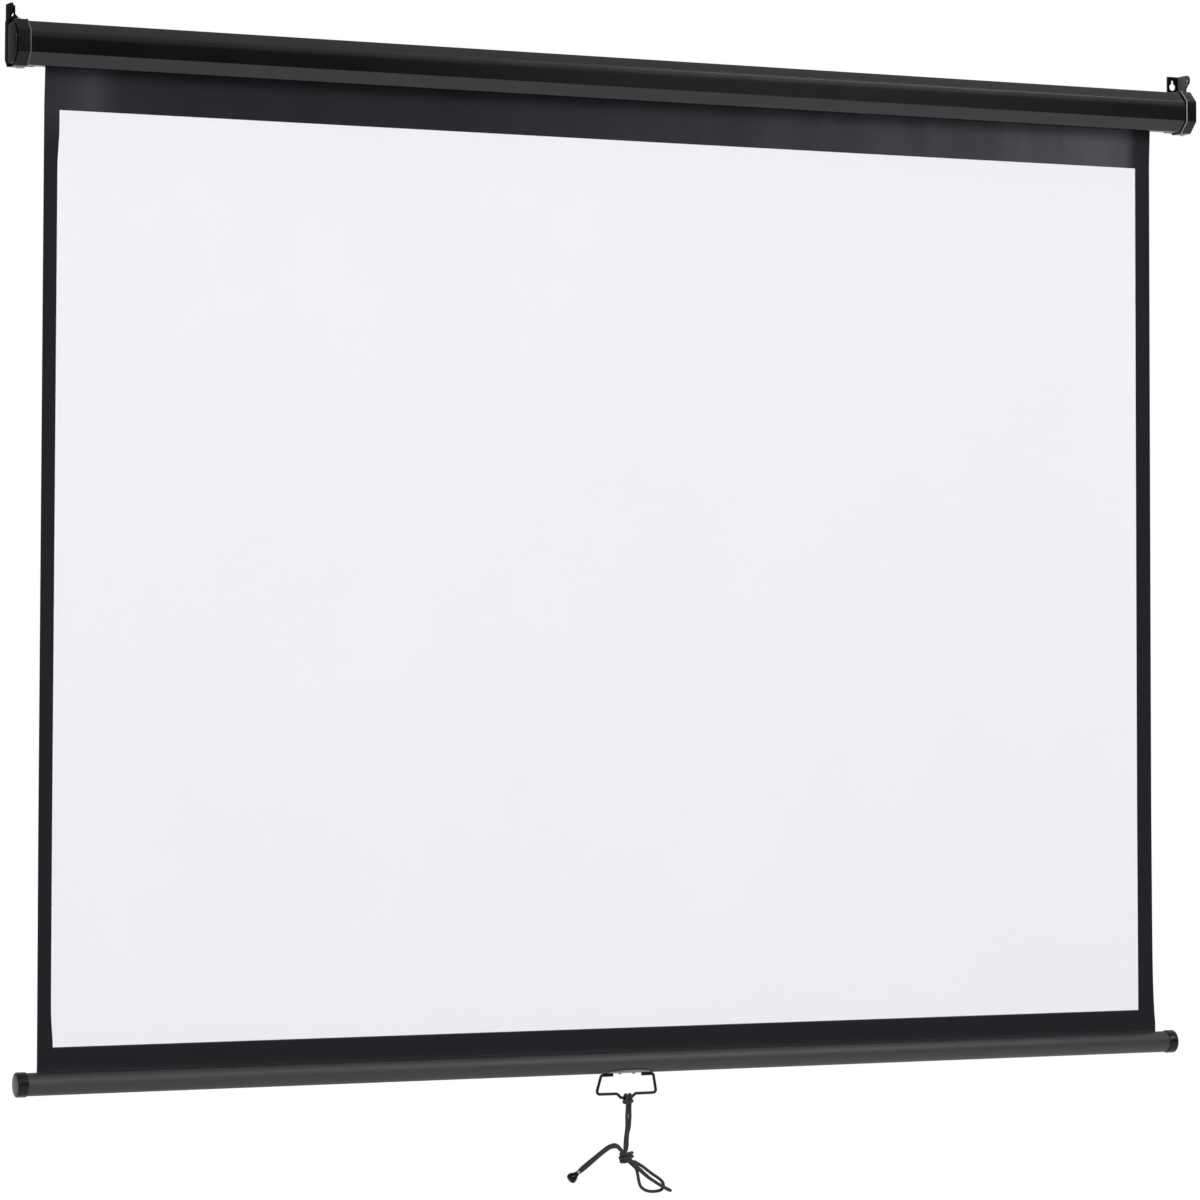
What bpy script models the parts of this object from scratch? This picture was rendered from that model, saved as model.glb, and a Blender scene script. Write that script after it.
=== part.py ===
"""Manual pull-down projection screen: a spring-loaded roller in an octagonal wall casing,
a bordered screen sheet, a weighted tube at its foot, and a wire pull handle with a knotted cord.

X runs along the casing, -Y faces the room, +Y faces the wall and Z is up.
The origin is the middle of the casing's flat rear face, which lies against the wall (Y = 0).
Sections are drawn in the Y-Z plane, as the screen is seen from its right-hand end.
"""
import math

import bmesh
import bpy
from mathutils import Matrix, Vector

mm = 0.001

# Clearance between pieces that seat on each other
SEAT = 0.3 * mm

# Casing: one bent sheet with a slot along its underside
CASING_SPAN = 2216 * mm          # over the outer faces of both end caps
CASING_HEIGHT = 72 * mm
CASING_DEPTH = 65 * mm
FACET_HEIGHT = 35 * mm           # height of the upright front and rear facets
SLOPE_RUN = 19 * mm              # how far the sloped facets run from front to back
CASING_WALL = 1.2 * mm
CASING_BEND = 2.5 * mm           # outer radius at the folds
SLOT_FRONT = 29 * mm             # slot edges, measured forward from the wall
SLOT_REAR = 17 * mm
SLOT_HEM = 3.5 * mm              # height of the turned-up lip at the slot's front edge
GROOVE_SET = 3.4 * mm            # decorative groove above the upper front fold
GROOVE_WIDTH = 1.4 * mm
GROOVE_DEPTH = 0.5 * mm

# Moulded end caps and their domed covers
CAP_WALL = 3.0 * mm
CAP_SKIRT = 21.5 * mm            # how far the cap reaches over the casing, with its end wall
CAP_SKIN = 2.0 * mm              # thickness of the skirt
CAP_BEAD = 0.8 * mm              # raised rim at the skirt's mouth
BEAD_WIDTH = 2.4 * mm
CAP_CORNER = 3.0 * mm
TONGUE_LENGTH = 18 * mm          # the tongue that closes the end of the casing's slot
TONGUE_THICK = 1.8 * mm
COVER_INSET = 5 * mm             # how far the cover's outline stands in from the cap's
COVER_CORNER = 22 * mm           # radius of its front corners
COVER_HEEL = 9 * mm              # radius of its rear corners
COVER_REAR = 17 * mm             # its rear edge, measured forward from the wall
COVER_EDGE = 1.8 * mm
COVER_ROUND = 1.4 * mm
COVER_DOME = 1.3 * mm
BOSS_LENGTH = 13 * mm

# Wall and ceiling brackets, bent from steel plate
PLATE = 3.0 * mm
BRACKET_BEND = 3.0 * mm          # bend radius at the middle of the plate
PLATE_CLEAR = 0.8 * mm           # between the plate's front edge and the cover
PLATE_ROUND = 11 * mm            # radius where the front edge turns forward, above and below
RIGHT_EAR_TOP = 70.5 * mm        # above the middle of the casing
LEFT_EAR_TOP = 66 * mm
EAR_NOSE = 9.5 * mm              # radius of the ear's round nose
EAR_REACH = 30.5 * mm            # from the wall to the middle of the nose
EAR_NECK = 3 * mm                # how far the neck stands back from the middle of the nose
FLANGE_FOOT = 40.3 * mm          # lower edge of the wall flange, just above the cap
RIGHT_FLANGE = 25.5 * mm
LEFT_FLANGE = 16.5 * mm
STEP_DROP = 14 * mm              # the left flange widens this far below its top
STEP_WIDTH = 6.5 * mm
HOOK_HOLE = 6.5 * mm             # diameter
HOOK_SET = 1.5 * mm              # how far it lies forward of and below the middle of the nose
RIGHT_KEYHOLE = 13.0 * mm        # diameter of the round part
LEFT_KEYHOLE = 8.0 * mm
KEYHOLE_SLOT = 5.2 * mm          # width of the narrow part
KEYHOLE_RISE = 9.8 * mm          # from the round part's middle to the slot's round end
KEYHOLE_HEIGHT = 51.5 * mm       # middle of the round part, above the middle of the casing

# Roller
ROLLER_FORWARD = 38 * mm         # axis, measured forward from the wall
ROLLER_RADIUS = 14 * mm
ROLLER_WALL = 1.0 * mm
ROLLER_LENGTH = CASING_SPAN - 76 * mm
PLUG_LENGTH = 25 * mm
PLUG_FLANGE = 4.0 * mm
IDLE_FLANGE_RADIUS = 15.5 * mm
LOCK_FLANGE_RADIUS = 17 * mm
IDLE_PIN_RADIUS = 4.0 * mm
BUSH_WALL = 2.7 * mm
BOSS_WALL = 2.7 * mm

# Spring and lock at the right-hand end
SHAFT_RADIUS = 5.0 * mm
TANG_HEIGHT = 8.0 * mm
TANG_THICK = 5.4 * mm
SHAFT_COLLAR = 11 * mm           # radius of the collar that the spring hooks on
COLLAR_WIDTH = 4.0 * mm
ANCHOR_WIDTH = 12 * mm
SPRING_LENGTH = 174 * mm
SPRING_TURNS = 30
SPRING_RADIUS = 8.5 * mm
SPRING_WIRE = 2.4 * mm           # diameter
RATCHET_TEETH = 6
RATCHET_TIP = 9.0 * mm
RATCHET_ROOT = 6.6 * mm
RATCHET_WIDTH = 5.0 * mm
PAWL_WIDTH = 4.0 * mm
PAWL_PIVOT = 14 * mm             # radius of the pivot from the roller's axis
PAWL_TIP = 7.8 * mm              # radius of the tip when it has dropped into a notch
PAWL_LEAD = 50                   # degrees from the pivot to the tip, dropped
PAWL_LIFT = 24                   # degrees that the pawl is swung clear at rest
PAWL_PIN_RADIUS = 1.5 * mm

# Screen sheet
CLOTH = 0.4 * mm
FABRIC_WIDTH = CASING_SPAN - 130 * mm
FABRIC_SHIFT = -7.5 * mm         # the cloth sits a little left of the casing's middle
WRAPS = 2                        # turns that stay on the roller when the screen is down
WRAP_GAP = 0.3 * mm
DROP = 1682 * mm                 # from the casing's middle down to the weight tube's middle
HEM_HEIGHT = 14 * mm             # the pocket's weld above the weight tube

# Weight tube at the foot of the sheet
TUBE_RADIUS = 17.4 * mm
TUBE_WALL = 1.2 * mm
TUBE_SLOT = 4.6 * mm
BAR_SPAN = CASING_SPAN - 50 * mm # over the outer faces of its end caps
BAR_SHIFT = -3 * mm              # the bar sits a little left of the casing's middle
BAR_CAP_RADIUS = 20.2 * mm
BAR_CAP_LENGTH = 18 * mm
BAR_CAP_WALL = 3.2 * mm
BAR_CAP_ROUND = 3.2 * mm
COLLAR_LENGTH = 4.5 * mm         # the narrow collar at the cap's mouth
COLLAR_WALL = 0.7 * mm
HEM_ROD_RADIUS = 4.0 * mm
HEM_SEAT = 6.3 * mm              # the rod hangs this far below the tube's slot
ROD_OVERHANG = 8 * mm

# Pull handle
HANDLE_X = -4 * mm
SADDLE_LENGTH = 92 * mm
SADDLE_WALL = 1.2 * mm
SADDLE_MIDDLE = 58               # degrees that the saddle reaches round the tube, each way
SADDLE_END = 14
BARREL_WALL = 0.8 * mm
BARREL_OUTER = 44.5 * mm         # ends of each hinge barrel, from the handle's middle
BARREL_INNER = 27 * mm
WIRE_RADIUS = 2.2 * mm
PIVOT_PLAY = 0.3 * mm
BAIL_TOP = 48.4 * mm             # half widths of the wire bail
BAIL_FOOT = 55 * mm
BAIL_PIN = 31 * mm               # inner end of each pivot pin
BAIL_HEIGHT = 30.8 * mm
DIP_OUTER = 18 * mm              # half widths of the dip that centres the cord
DIP_INNER = 9 * mm
DIP_DEPTH = 8.1 * mm
BAIL_CORNER = 5 * mm
PIN_CORNER = 3.5 * mm

# Pull cord
CORD = 5.4 * mm                  # diameter
CORD_SEAT = 0.6 * mm             # clearance where a cord meets its knot
CORD_LEAD = 5 * mm               # how far a cord runs straight out of its knot
HITCH_X = 0.5 * mm               # from the handle's middle
KNOT_OFFSET = (-1.8 * mm, 0.0, -100.9 * mm)
KNOT_RADII = (13.6 * mm, 10.4 * mm, 11.4 * mm)
KNOT_RIBS = 3
KNOT_RIB_DEPTH = 0.5 * mm
BELL_LENGTH = 20 * mm

# Places that follow from the sizes above
CAP_END = CASING_SPAN / 2
SHELL_HALF = CAP_END - CAP_WALL - SEAT
CAP_MOUTH = CAP_END - CAP_SKIRT
PLATE_INNER = CAP_END + SEAT
ROLLER_Y = -ROLLER_FORWARD
WRAP_PITCH = CLOTH + WRAP_GAP
FIRST_WRAP = ROLLER_RADIUS + SEAT + CLOTH / 2
LAST_WRAP = FIRST_WRAP + WRAPS * WRAP_PITCH
SHEET_Y = ROLLER_Y + LAST_WRAP
BAR_Z = -DROP
TUBE_BORE = TUBE_RADIUS - TUBE_WALL
HEM_Z = BAR_Z + math.sqrt(TUBE_BORE ** 2 - (TUBE_SLOT / 2) ** 2) - HEM_SEAT
BORE_RADIUS = ROLLER_RADIUS - ROLLER_WALL
PLUG_RADIUS = BORE_RADIUS - SEAT
ROLLER_HALF = ROLLER_LENGTH / 2
BARREL_BORE = WIRE_RADIUS + PIVOT_PLAY
BARREL_RADIUS = BARREL_BORE + BARREL_WALL
PIVOT_Z = BAR_Z - TUBE_RADIUS - SEAT - SADDLE_WALL - BARREL_BORE - 0.05 * mm
PIVOT = Vector((HANDLE_X, SHEET_Y, PIVOT_Z))
HITCH = PIVOT + Vector((HITCH_X, 0, -BAIL_HEIGHT - DIP_DEPTH))
KNOT = HITCH + Vector(KNOT_OFFSET)


# Scene and materials

def clear_scene():
    for item in list(bpy.data.objects):
        bpy.data.objects.remove(item, do_unlink=True)


def finish(name, colour, roughness, metallic=0.0):
    made = bpy.data.materials.new(name)
    made.use_nodes = True
    shader = made.node_tree.nodes["Principled BSDF"]
    shader.inputs["Base Color"].default_value = (*colour, 1.0)
    shader.inputs["Roughness"].default_value = roughness
    shader.inputs["Metallic"].default_value = metallic
    return made


# Outlines in a plane, as lists of (first, second) pairs

def rounded(corners, steps=3, closed=False):
    """Replace each (y, z, radius) corner of a path by an arc of that radius."""
    path = []
    count = len(corners)
    for index, (y, z, radius) in enumerate(corners):
        here = Vector((y, z))
        at_end = not closed and index in (0, count - 1)
        if at_end or radius <= 0:
            path.append((y, z))
            continue
        back = (Vector(corners[index - 1][:2]) - here).normalized()
        ahead = (Vector(corners[(index + 1) % count][:2]) - here).normalized()
        half = math.acos(max(-1.0, min(1.0, back.dot(ahead)))) / 2
        centre = here + (back + ahead).normalized() * (radius / math.sin(half))
        start = here + back * (radius / math.tan(half)) - centre
        turn = math.pi - 2 * half
        if back.x * ahead.y - back.y * ahead.x > 0:
            turn = -turn
        for step in range(steps + 1):
            angle = turn * step / steps
            path.append((centre.x + start.x * math.cos(angle) - start.y * math.sin(angle),
                         centre.y + start.x * math.sin(angle) + start.y * math.cos(angle)))
    return path


def offset_path(path, distance, closed=False):
    """Move a path sideways, to the right of its direction, with mitred corners."""
    moved = []
    count = len(path)
    for index in range(count):
        here = Vector(path[index])
        sides = []
        if closed or index > 0:
            sides.append((here - Vector(path[index - 1])).normalized())
        if closed or index < count - 1:
            sides.append((Vector(path[(index + 1) % count]) - here).normalized())
        normals = [Vector((side.y, -side.x)) for side in sides]
        middle = sum(normals, Vector((0, 0))).normalized()
        moved.append(tuple(here + middle * (distance / middle.dot(normals[0]))))
    return moved


def strip_section(path, left, right):
    """Close a path into a strip that reaches left and right of its direction."""
    return offset_path(path, -left) + offset_path(path, right)[::-1]


def arc(centre, radius, start, stop, steps):
    """Points on an arc, with angles in degrees."""
    points = []
    for step in range(steps + 1):
        angle = math.radians(start + (stop - start) * step / steps)
        points.append((centre[0] + radius * math.cos(angle), centre[1] + radius * math.sin(angle)))
    return points


def casing_corners(grow=0.0, to_wall=False):
    """The casing's eight corners, from the lower front round the front to the lower rear."""
    half = CASING_HEIGHT / 2
    facet = FACET_HEIGHT / 2
    corners = [(-CASING_DEPTH + SLOPE_RUN, -half), (-CASING_DEPTH, -facet), (-CASING_DEPTH, facet),
               (-CASING_DEPTH + SLOPE_RUN, half), (-SLOPE_RUN, half), (0.0, facet),
               (0.0, -facet), (-SLOPE_RUN, -half)]
    grown = offset_path(corners, -grow, closed=True)
    if not to_wall:
        return grown
    # The grown outline stops at the wall plane, on its rear slopes
    slope = (half - facet) / SLOPE_RUN
    for index, rise in ((5, -slope), (6, slope)):
        y, z = grown[index]
        grown[index] = (0.0, z + rise * (0.0 - y))
    return grown


# Solids

def add_object(name, mesh, material, parent=None):
    made = bpy.data.objects.new(name, mesh)
    bpy.context.collection.objects.link(made)
    made.data.materials.append(material)
    if parent is not None:
        made.parent = parent
        made.matrix_parent_inverse = Matrix.Translation(-parent.location)
    return made


def mesh_from(name, bm, smooth_angle=40):
    bmesh.ops.recalc_face_normals(bm, faces=bm.faces)
    if bm.calc_volume(signed=True) < 0:
        bmesh.ops.reverse_faces(bm, faces=bm.faces)
    mesh = bpy.data.meshes.new(name)
    bm.to_mesh(mesh)
    bm.free()
    if smooth_angle:
        mesh.shade_smooth()
        mesh.set_sharp_from_angle(angle=math.radians(smooth_angle))
    return mesh


def pivot(name, place):
    """An empty on a joint's axis, which carries the pieces that move there."""
    made = bpy.data.objects.new(name, None)
    made.empty_display_size = 20 * mm
    made.location = place
    bpy.context.collection.objects.link(made)
    return made


def prism(name, outline, start, stop, material, parent=None, axis="X"):
    """Extrude an outline: (y, z) pairs along X, or (x, z) pairs along Y."""
    bm = bmesh.new()
    if axis == "X":
        ring = [bm.verts.new((start, a, b)) for a, b in outline]
        travel = Vector((stop - start, 0, 0))
    else:
        ring = [bm.verts.new((a, start, b)) for a, b in outline]
        travel = Vector((0, stop - start, 0))
    face = bm.faces.new(ring)
    grown = bmesh.ops.extrude_face_region(bm, geom=[face])
    moved = [item for item in grown["geom"] if isinstance(item, bmesh.types.BMVert)]
    bmesh.ops.translate(bm, verts=moved, vec=travel)
    return add_object(name, mesh_from(name, bm), material, parent)


def loft(name, rings, material, parent=None):
    """Skin a row of closed rings of equal length and close both ends."""
    bm = bmesh.new()
    loops = [[bm.verts.new(point) for point in ring] for ring in rings]
    count = len(loops[0])
    for near, far in zip(loops, loops[1:]):
        for index in range(count):
            following = (index + 1) % count
            bm.faces.new((near[index], near[following], far[following], far[index]))
    bm.faces.new(loops[0])
    bm.faces.new(loops[-1])
    return add_object(name, mesh_from(name, bm), material, parent)


def turned(name, profile, centre, direction, material, parent=None, steps=32):
    """Spin a closed half-section of (along, radius) pairs about a line through centre."""
    bm = bmesh.new()
    axis = Vector(direction).normalized()
    side = axis.orthogonal().normalized()
    verts = [bm.verts.new(Vector(centre) + axis * along + side * radius) for along, radius in profile]
    edges = [bm.edges.new((a, b)) for a, b in zip(verts, verts[1:] + verts[:1])]
    on_axis = [edge for edge in edges
               if all(abs((v.co - Vector(centre)).dot(side)) < 1e-6 for v in edge.verts)]
    bmesh.ops.delete(bm, geom=on_axis, context="EDGES_FACES")
    bmesh.ops.spin(bm, geom=bm.verts[:] + bm.edges[:], cent=centre, axis=axis,
                   angle=2 * math.pi, steps=steps, use_merge=True)
    bmesh.ops.remove_doubles(bm, verts=bm.verts, dist=1e-6)
    return add_object(name, mesh_from(name, bm), material, parent)


def combine(target, tool, operation):
    """Join or cut with another object, which becomes a hidden guide."""
    change = target.modifiers.new(operation.lower() + " " + tool.name, "BOOLEAN")
    change.operation = operation
    change.object = tool
    change.solver = "EXACT"
    tool.hide_render = True
    tool.display_type = "WIRE"


def resample(route, count):
    """Read evenly spaced points from a smooth curve through the route's points."""
    knots = [Vector(point) for point in route]
    padded = [2 * knots[0] - knots[1]] + knots + [2 * knots[-1] - knots[-2]]
    fine = []
    for a, b, c, d in zip(padded, padded[1:], padded[2:], padded[3:]):
        for step in range(16):
            t = step / 16
            fine.append(0.5 * (2 * b + (c - a) * t + (2 * a - 5 * b + 4 * c - d) * t * t
                               + (3 * b - a - 3 * c + d) * t ** 3))
    fine.append(knots[-1])
    reach = [0.0]
    for a, b in zip(fine, fine[1:]):
        reach.append(reach[-1] + (b - a).length)
    points = []
    index = 0
    for step in range(count):
        wanted = reach[-1] * step / (count - 1)
        while index < len(fine) - 2 and reach[index + 1] < wanted:
            index += 1
        share = (wanted - reach[index]) / max(reach[index + 1] - reach[index], 1e-12)
        points.append(fine[index].lerp(fine[index + 1], min(share, 1.0)))
    return points


def tube(name, points, radius, material, parent=None, sides=2):
    """A round cord or wire along points, with closed ends."""
    curve = bpy.data.curves.new(name, "CURVE")
    curve.dimensions = "3D"
    curve.bevel_depth = radius
    curve.bevel_resolution = sides
    curve.use_fill_caps = True
    spline = curve.splines.new("POLY")
    spline.points.add(len(points) - 1)
    for slot, point in zip(spline.points, points):
        slot.co = (*point, 1.0)
    return add_object(name, curve, material, parent)


def length_of(points):
    return sum((b - a).length for a, b in zip(points, points[1:]))


def least_gap(points, radius):
    """The least clear distance between stretches of a tube that aren't neighbours along it."""
    least = math.inf
    along = [0.0]
    for a, b in zip(points, points[1:]):
        along.append(along[-1] + (b - a).length)
    for i, here in enumerate(points):
        for j in range(i + 1, len(points)):
            if along[j] - along[i] > 4 * math.pi * radius:
                least = min(least, (points[j] - here).length)
    return least - 2 * radius


# Casing shell

def build_casing(paint):
    half = CASING_HEIGHT / 2
    corners = casing_corners()
    rear_lip = -half + (SLOPE_RUN - SLOT_REAR) * (half - FACET_HEIGHT / 2) / SLOPE_RUN
    folds = [(-SLOT_FRONT, -half + SLOT_HEM, 0.0), (-SLOT_FRONT, -half, CASING_WALL)]
    folds += [(y, z, CASING_BEND) for y, z in corners[:7]]
    folds += [(-SLOT_REAR, rear_lip, 0.0)]
    inner = offset_path(rounded(folds), CASING_WALL)

    # The groove is three extra corners on the upper front slope's outer side
    low, high = Vector(corners[2]), Vector(corners[3])
    up = (high - low).normalized()
    inward = Vector((up.y, -up.x))
    groove = [low + up * (GROOVE_SET - GROOVE_WIDTH / 2),
              low + up * GROOVE_SET + inward * GROOVE_DEPTH,
              low + up * (GROOVE_SET + GROOVE_WIDTH / 2)]
    upper_fold = 2 + corners.index(corners[2])
    outer = rounded(folds[:upper_fold + 1] + [(*point, 0.0) for point in groove] + folds[upper_fold + 1:])
    prism("casing_shell", outer + inner[::-1], -SHELL_HALF, SHELL_HALF, paint)


# End caps, covers and brackets, built for side -1 (left) or +1 (right)

def cap_ring(x, grow):
    corners = casing_corners(grow, to_wall=True)
    radii = [CAP_CORNER] * 5 + [0.0, 0.0] + [CAP_CORNER]
    outline = rounded([(y, z, radius) for (y, z), radius in zip(corners, radii)], 3, closed=True)
    return [(x, y, z) for y, z in outline]


def build_end_cap(side, plastic, bore):
    name = ("left" if side < 0 else "right") + "_end_cap"
    skirt = SEAT + CAP_SKIN
    bead = skirt + CAP_BEAD
    edge = 0.6 * mm
    rings = [(CAP_MOUTH, bead - edge), (CAP_MOUTH + edge, bead), (CAP_MOUTH + BEAD_WIDTH - edge, bead),
             (CAP_MOUTH + BEAD_WIDTH, skirt), (CAP_END - edge, skirt), (CAP_END, skirt - edge)]
    cap = loft(name, [cap_ring(side * x, grow) for x, grow in rings], plastic)
    past = 2 * mm
    hollow = prism(name + "_hollow", casing_corners(SEAT), side * (CAP_MOUTH - past),
                   side * (CAP_END - CAP_WALL), plastic)
    combine(cap, hollow, "DIFFERENCE")

    # The tongue closes the casing's slot beside the sheet
    half = CASING_HEIGHT / 2
    front = -SLOT_FRONT + 2 * SEAT
    rear = -SLOT_REAR - CASING_WALL
    tongue = prism(name + "_tongue", [(front, -half), (rear, -half), (rear, -half + TONGUE_THICK),
                                      (front, -half + TONGUE_THICK)],
                   side * (CAP_MOUTH - TONGUE_LENGTH), side * (CAP_END - CAP_WALL / 2), plastic)
    combine(cap, tongue, "UNION")

    # A boss inside the end wall carries the roller
    root = CAP_END - CAP_WALL
    if side > 0:
        boss_radius = math.hypot(TANG_HEIGHT, TANG_THICK) / 2 + SEAT + BOSS_WALL
    else:
        boss_radius = bore + BOSS_WALL
    boss = turned(name + "_boss", [(0, 0), (BOSS_LENGTH + CAP_WALL / 2, 0),
                                   (BOSS_LENGTH + CAP_WALL / 2, boss_radius), (0, boss_radius)],
                  (side * (root - BOSS_LENGTH), ROLLER_Y, 0), (side, 0, 0), plastic)
    combine(cap, boss, "UNION")
    mouth = side * (root - BOSS_LENGTH - past)
    if side > 0:
        tall = TANG_HEIGHT / 2 + SEAT
        deep = TANG_THICK / 2 + SEAT
        pocket = prism(name + "_socket", [(ROLLER_Y - deep, -tall), (ROLLER_Y + deep, -tall),
                                          (ROLLER_Y + deep, tall), (ROLLER_Y - deep, tall)],
                       mouth, side * root, plastic)
    else:
        pocket = turned(name + "_bore", [(0, 0), (BOSS_LENGTH + past, 0), (BOSS_LENGTH + past, bore), (0, bore)],
                        (mouth, ROLLER_Y, 0), (side, 0, 0), plastic)
    combine(cap, pocket, "DIFFERENCE")


def build_cover(side, plastic):
    """The domed cover on the end cap, in front of the bracket plate."""
    name = ("left" if side < 0 else "right") + "_end_cover"
    front = casing_corners(SEAT + CAP_SKIN - COVER_INSET)[:4]
    outline = [(y, z, COVER_CORNER) for y, z in front]
    outline += [(-COVER_REAR, front[3][1], COVER_HEEL), (-COVER_REAR, front[0][1], COVER_HEEL)]
    path = rounded(outline, 6, closed=True)
    middle = sum((Vector(point) for point in path), Vector((0, 0))) / len(path)
    mean = sum((Vector(point) - middle).length for point in path) / len(path)

    def ring(out, inset, share=1.0):
        """The outline set in, and rounder the nearer it comes to the middle."""
        placed = []
        for point in offset_path(path, inset, closed=True):
            away = Vector(point) - middle
            placed.append(middle + away.lerp(away.normalized() * mean, 1 - share) * share)
        return [(side * (PLATE_INNER + out), y, z) for y, z in placed]

    crown = COVER_EDGE + COVER_ROUND
    rings = [ring(0, 0), ring(COVER_EDGE, 0), ring(COVER_EDGE + 0.6 * COVER_ROUND, 0.3 * COVER_ROUND),
             ring(crown - 0.1 * mm, 0.6 * COVER_ROUND), ring(crown, 0.95 * COVER_ROUND, 0.97)]
    for share in (0.75, 0.5, 0.25):
        rings.append(ring(crown + COVER_DOME * (1 - share ** 2), 0.95 * COVER_ROUND, share))
    loft(name, rings, plastic)


def plate_edge():
    """The bracket plate's curved front edge, from the ear's neck down to its foot."""
    half = CASING_HEIGHT / 2
    neck = -EAR_REACH + EAR_NECK
    front = -COVER_REAR + PLATE_CLEAR
    return [(neck, half + 9.5 * mm, 1.5 * mm), (neck, half + 4 * mm, 3 * mm), (front, half - 3 * mm, PLATE_ROUND),
            (front, -half + 3 * mm, PLATE_ROUND), (front - 10 * mm, -half - 1.5 * mm, 1 * mm)]


def build_bracket(side, steel):
    """A plate on the cap's end with an ear above it, bent into a flange that lies on the wall."""
    name = ("left" if side < 0 else "right") + "_hang_bracket"
    across = PLATE_INNER + PLATE / 2
    fold = PLATE / 2 + BRACKET_BEND
    width = RIGHT_FLANGE if side > 0 else LEFT_FLANGE
    ear_top = RIGHT_EAR_TOP if side > 0 else LEFT_EAR_TOP
    half = CASING_HEIGHT / 2
    nose = (-EAR_REACH, ear_top - EAR_NOSE)
    foot_corner = -half + 11 * mm
    edge = rounded([(*nose, 0.0)] + plate_edge() + [(-13 * mm, -half - 1.5 * mm, 0.0)], 5)[1:]
    outline = [(-fold, FLANGE_FOOT), (-fold, ear_top)]
    outline += arc(nose, EAR_NOSE, 90, 252, 14) + edge
    outline += [(-0.5 * mm, foot_corner), (-0.5 * mm, FLANGE_FOOT - 1.5 * mm), (-fold, FLANGE_FOOT - 1.5 * mm)]

    bm = bmesh.new()
    side_verts = [bm.verts.new((side * across, y, z)) for y, z in outline]
    bm.faces.new(side_verts)
    low, high = side_verts[0], side_verts[1]
    for turn in range(1, 5):
        angle = math.radians(22.5 * turn)
        x = side * (across - BRACKET_BEND + BRACKET_BEND * math.cos(angle))
        y = -fold + BRACKET_BEND * math.sin(angle)
        next_low = bm.verts.new((x, y, FLANGE_FOOT))
        next_high = bm.verts.new((x, y, ear_top))
        bm.faces.new((low, high, next_high, next_low))
        low, high = next_low, next_high
    free = PLATE_INNER + PLATE - width
    far = [(free, ear_top)]
    if side < 0:
        # The left flange widens below the ear's nose
        far += [(free, ear_top - STEP_DROP), (free - STEP_WIDTH, ear_top - STEP_DROP - STEP_WIDTH)]
        free -= STEP_WIDTH
    far.append((free, FLANGE_FOOT))
    bm.faces.new([low, high] + [bm.verts.new((side * x, -PLATE / 2, z)) for x, z in far])
    bracket = add_object(name, mesh_from(name, bm, smooth_angle=0), steel)
    thick = bracket.modifiers.new("plate thickness", "SOLIDIFY")
    thick.thickness = PLATE
    thick.offset = 0.0
    thick.use_even_offset = True

    hook = turned(name + "_hook_hole", [(0, 0), (4 * PLATE, 0), (4 * PLATE, HOOK_HOLE / 2), (0, HOOK_HOLE / 2)],
                  (side * (PLATE_INNER - PLATE), nose[0] - HOOK_SET, nose[1] - HOOK_SET), (side, 0, 0), steel, steps=24)
    combine(bracket, hook, "DIFFERENCE")
    key_radius = (RIGHT_KEYHOLE if side > 0 else LEFT_KEYHOLE) / 2
    keyhole = prism(name + "_keyhole", keyhole_outline(side, key_radius), -3 * PLATE, PLATE, steel, axis="Y")
    combine(bracket, keyhole, "DIFFERENCE")


def keyhole_middle(side):
    """The keyhole is centred between the bracket's plate and the flange's free edge."""
    width = RIGHT_FLANGE if side > 0 else LEFT_FLANGE
    return side * (PLATE_INNER - (width - PLATE) / 2 - 0.4 * mm)


def keyhole_outline(side, radius):
    middle = (keyhole_middle(side), KEYHOLE_HEIGHT)
    slot = min(KEYHOLE_SLOT / 2, 0.6 * radius)
    neck = math.degrees(math.acos(slot / radius))
    top = (middle[0], middle[1] + KEYHOLE_RISE)
    return arc(middle, radius, 180 - neck, 360 + neck, 20) + arc(top, slot, 0, 180, 8)


# Roller, spring and lock

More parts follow.
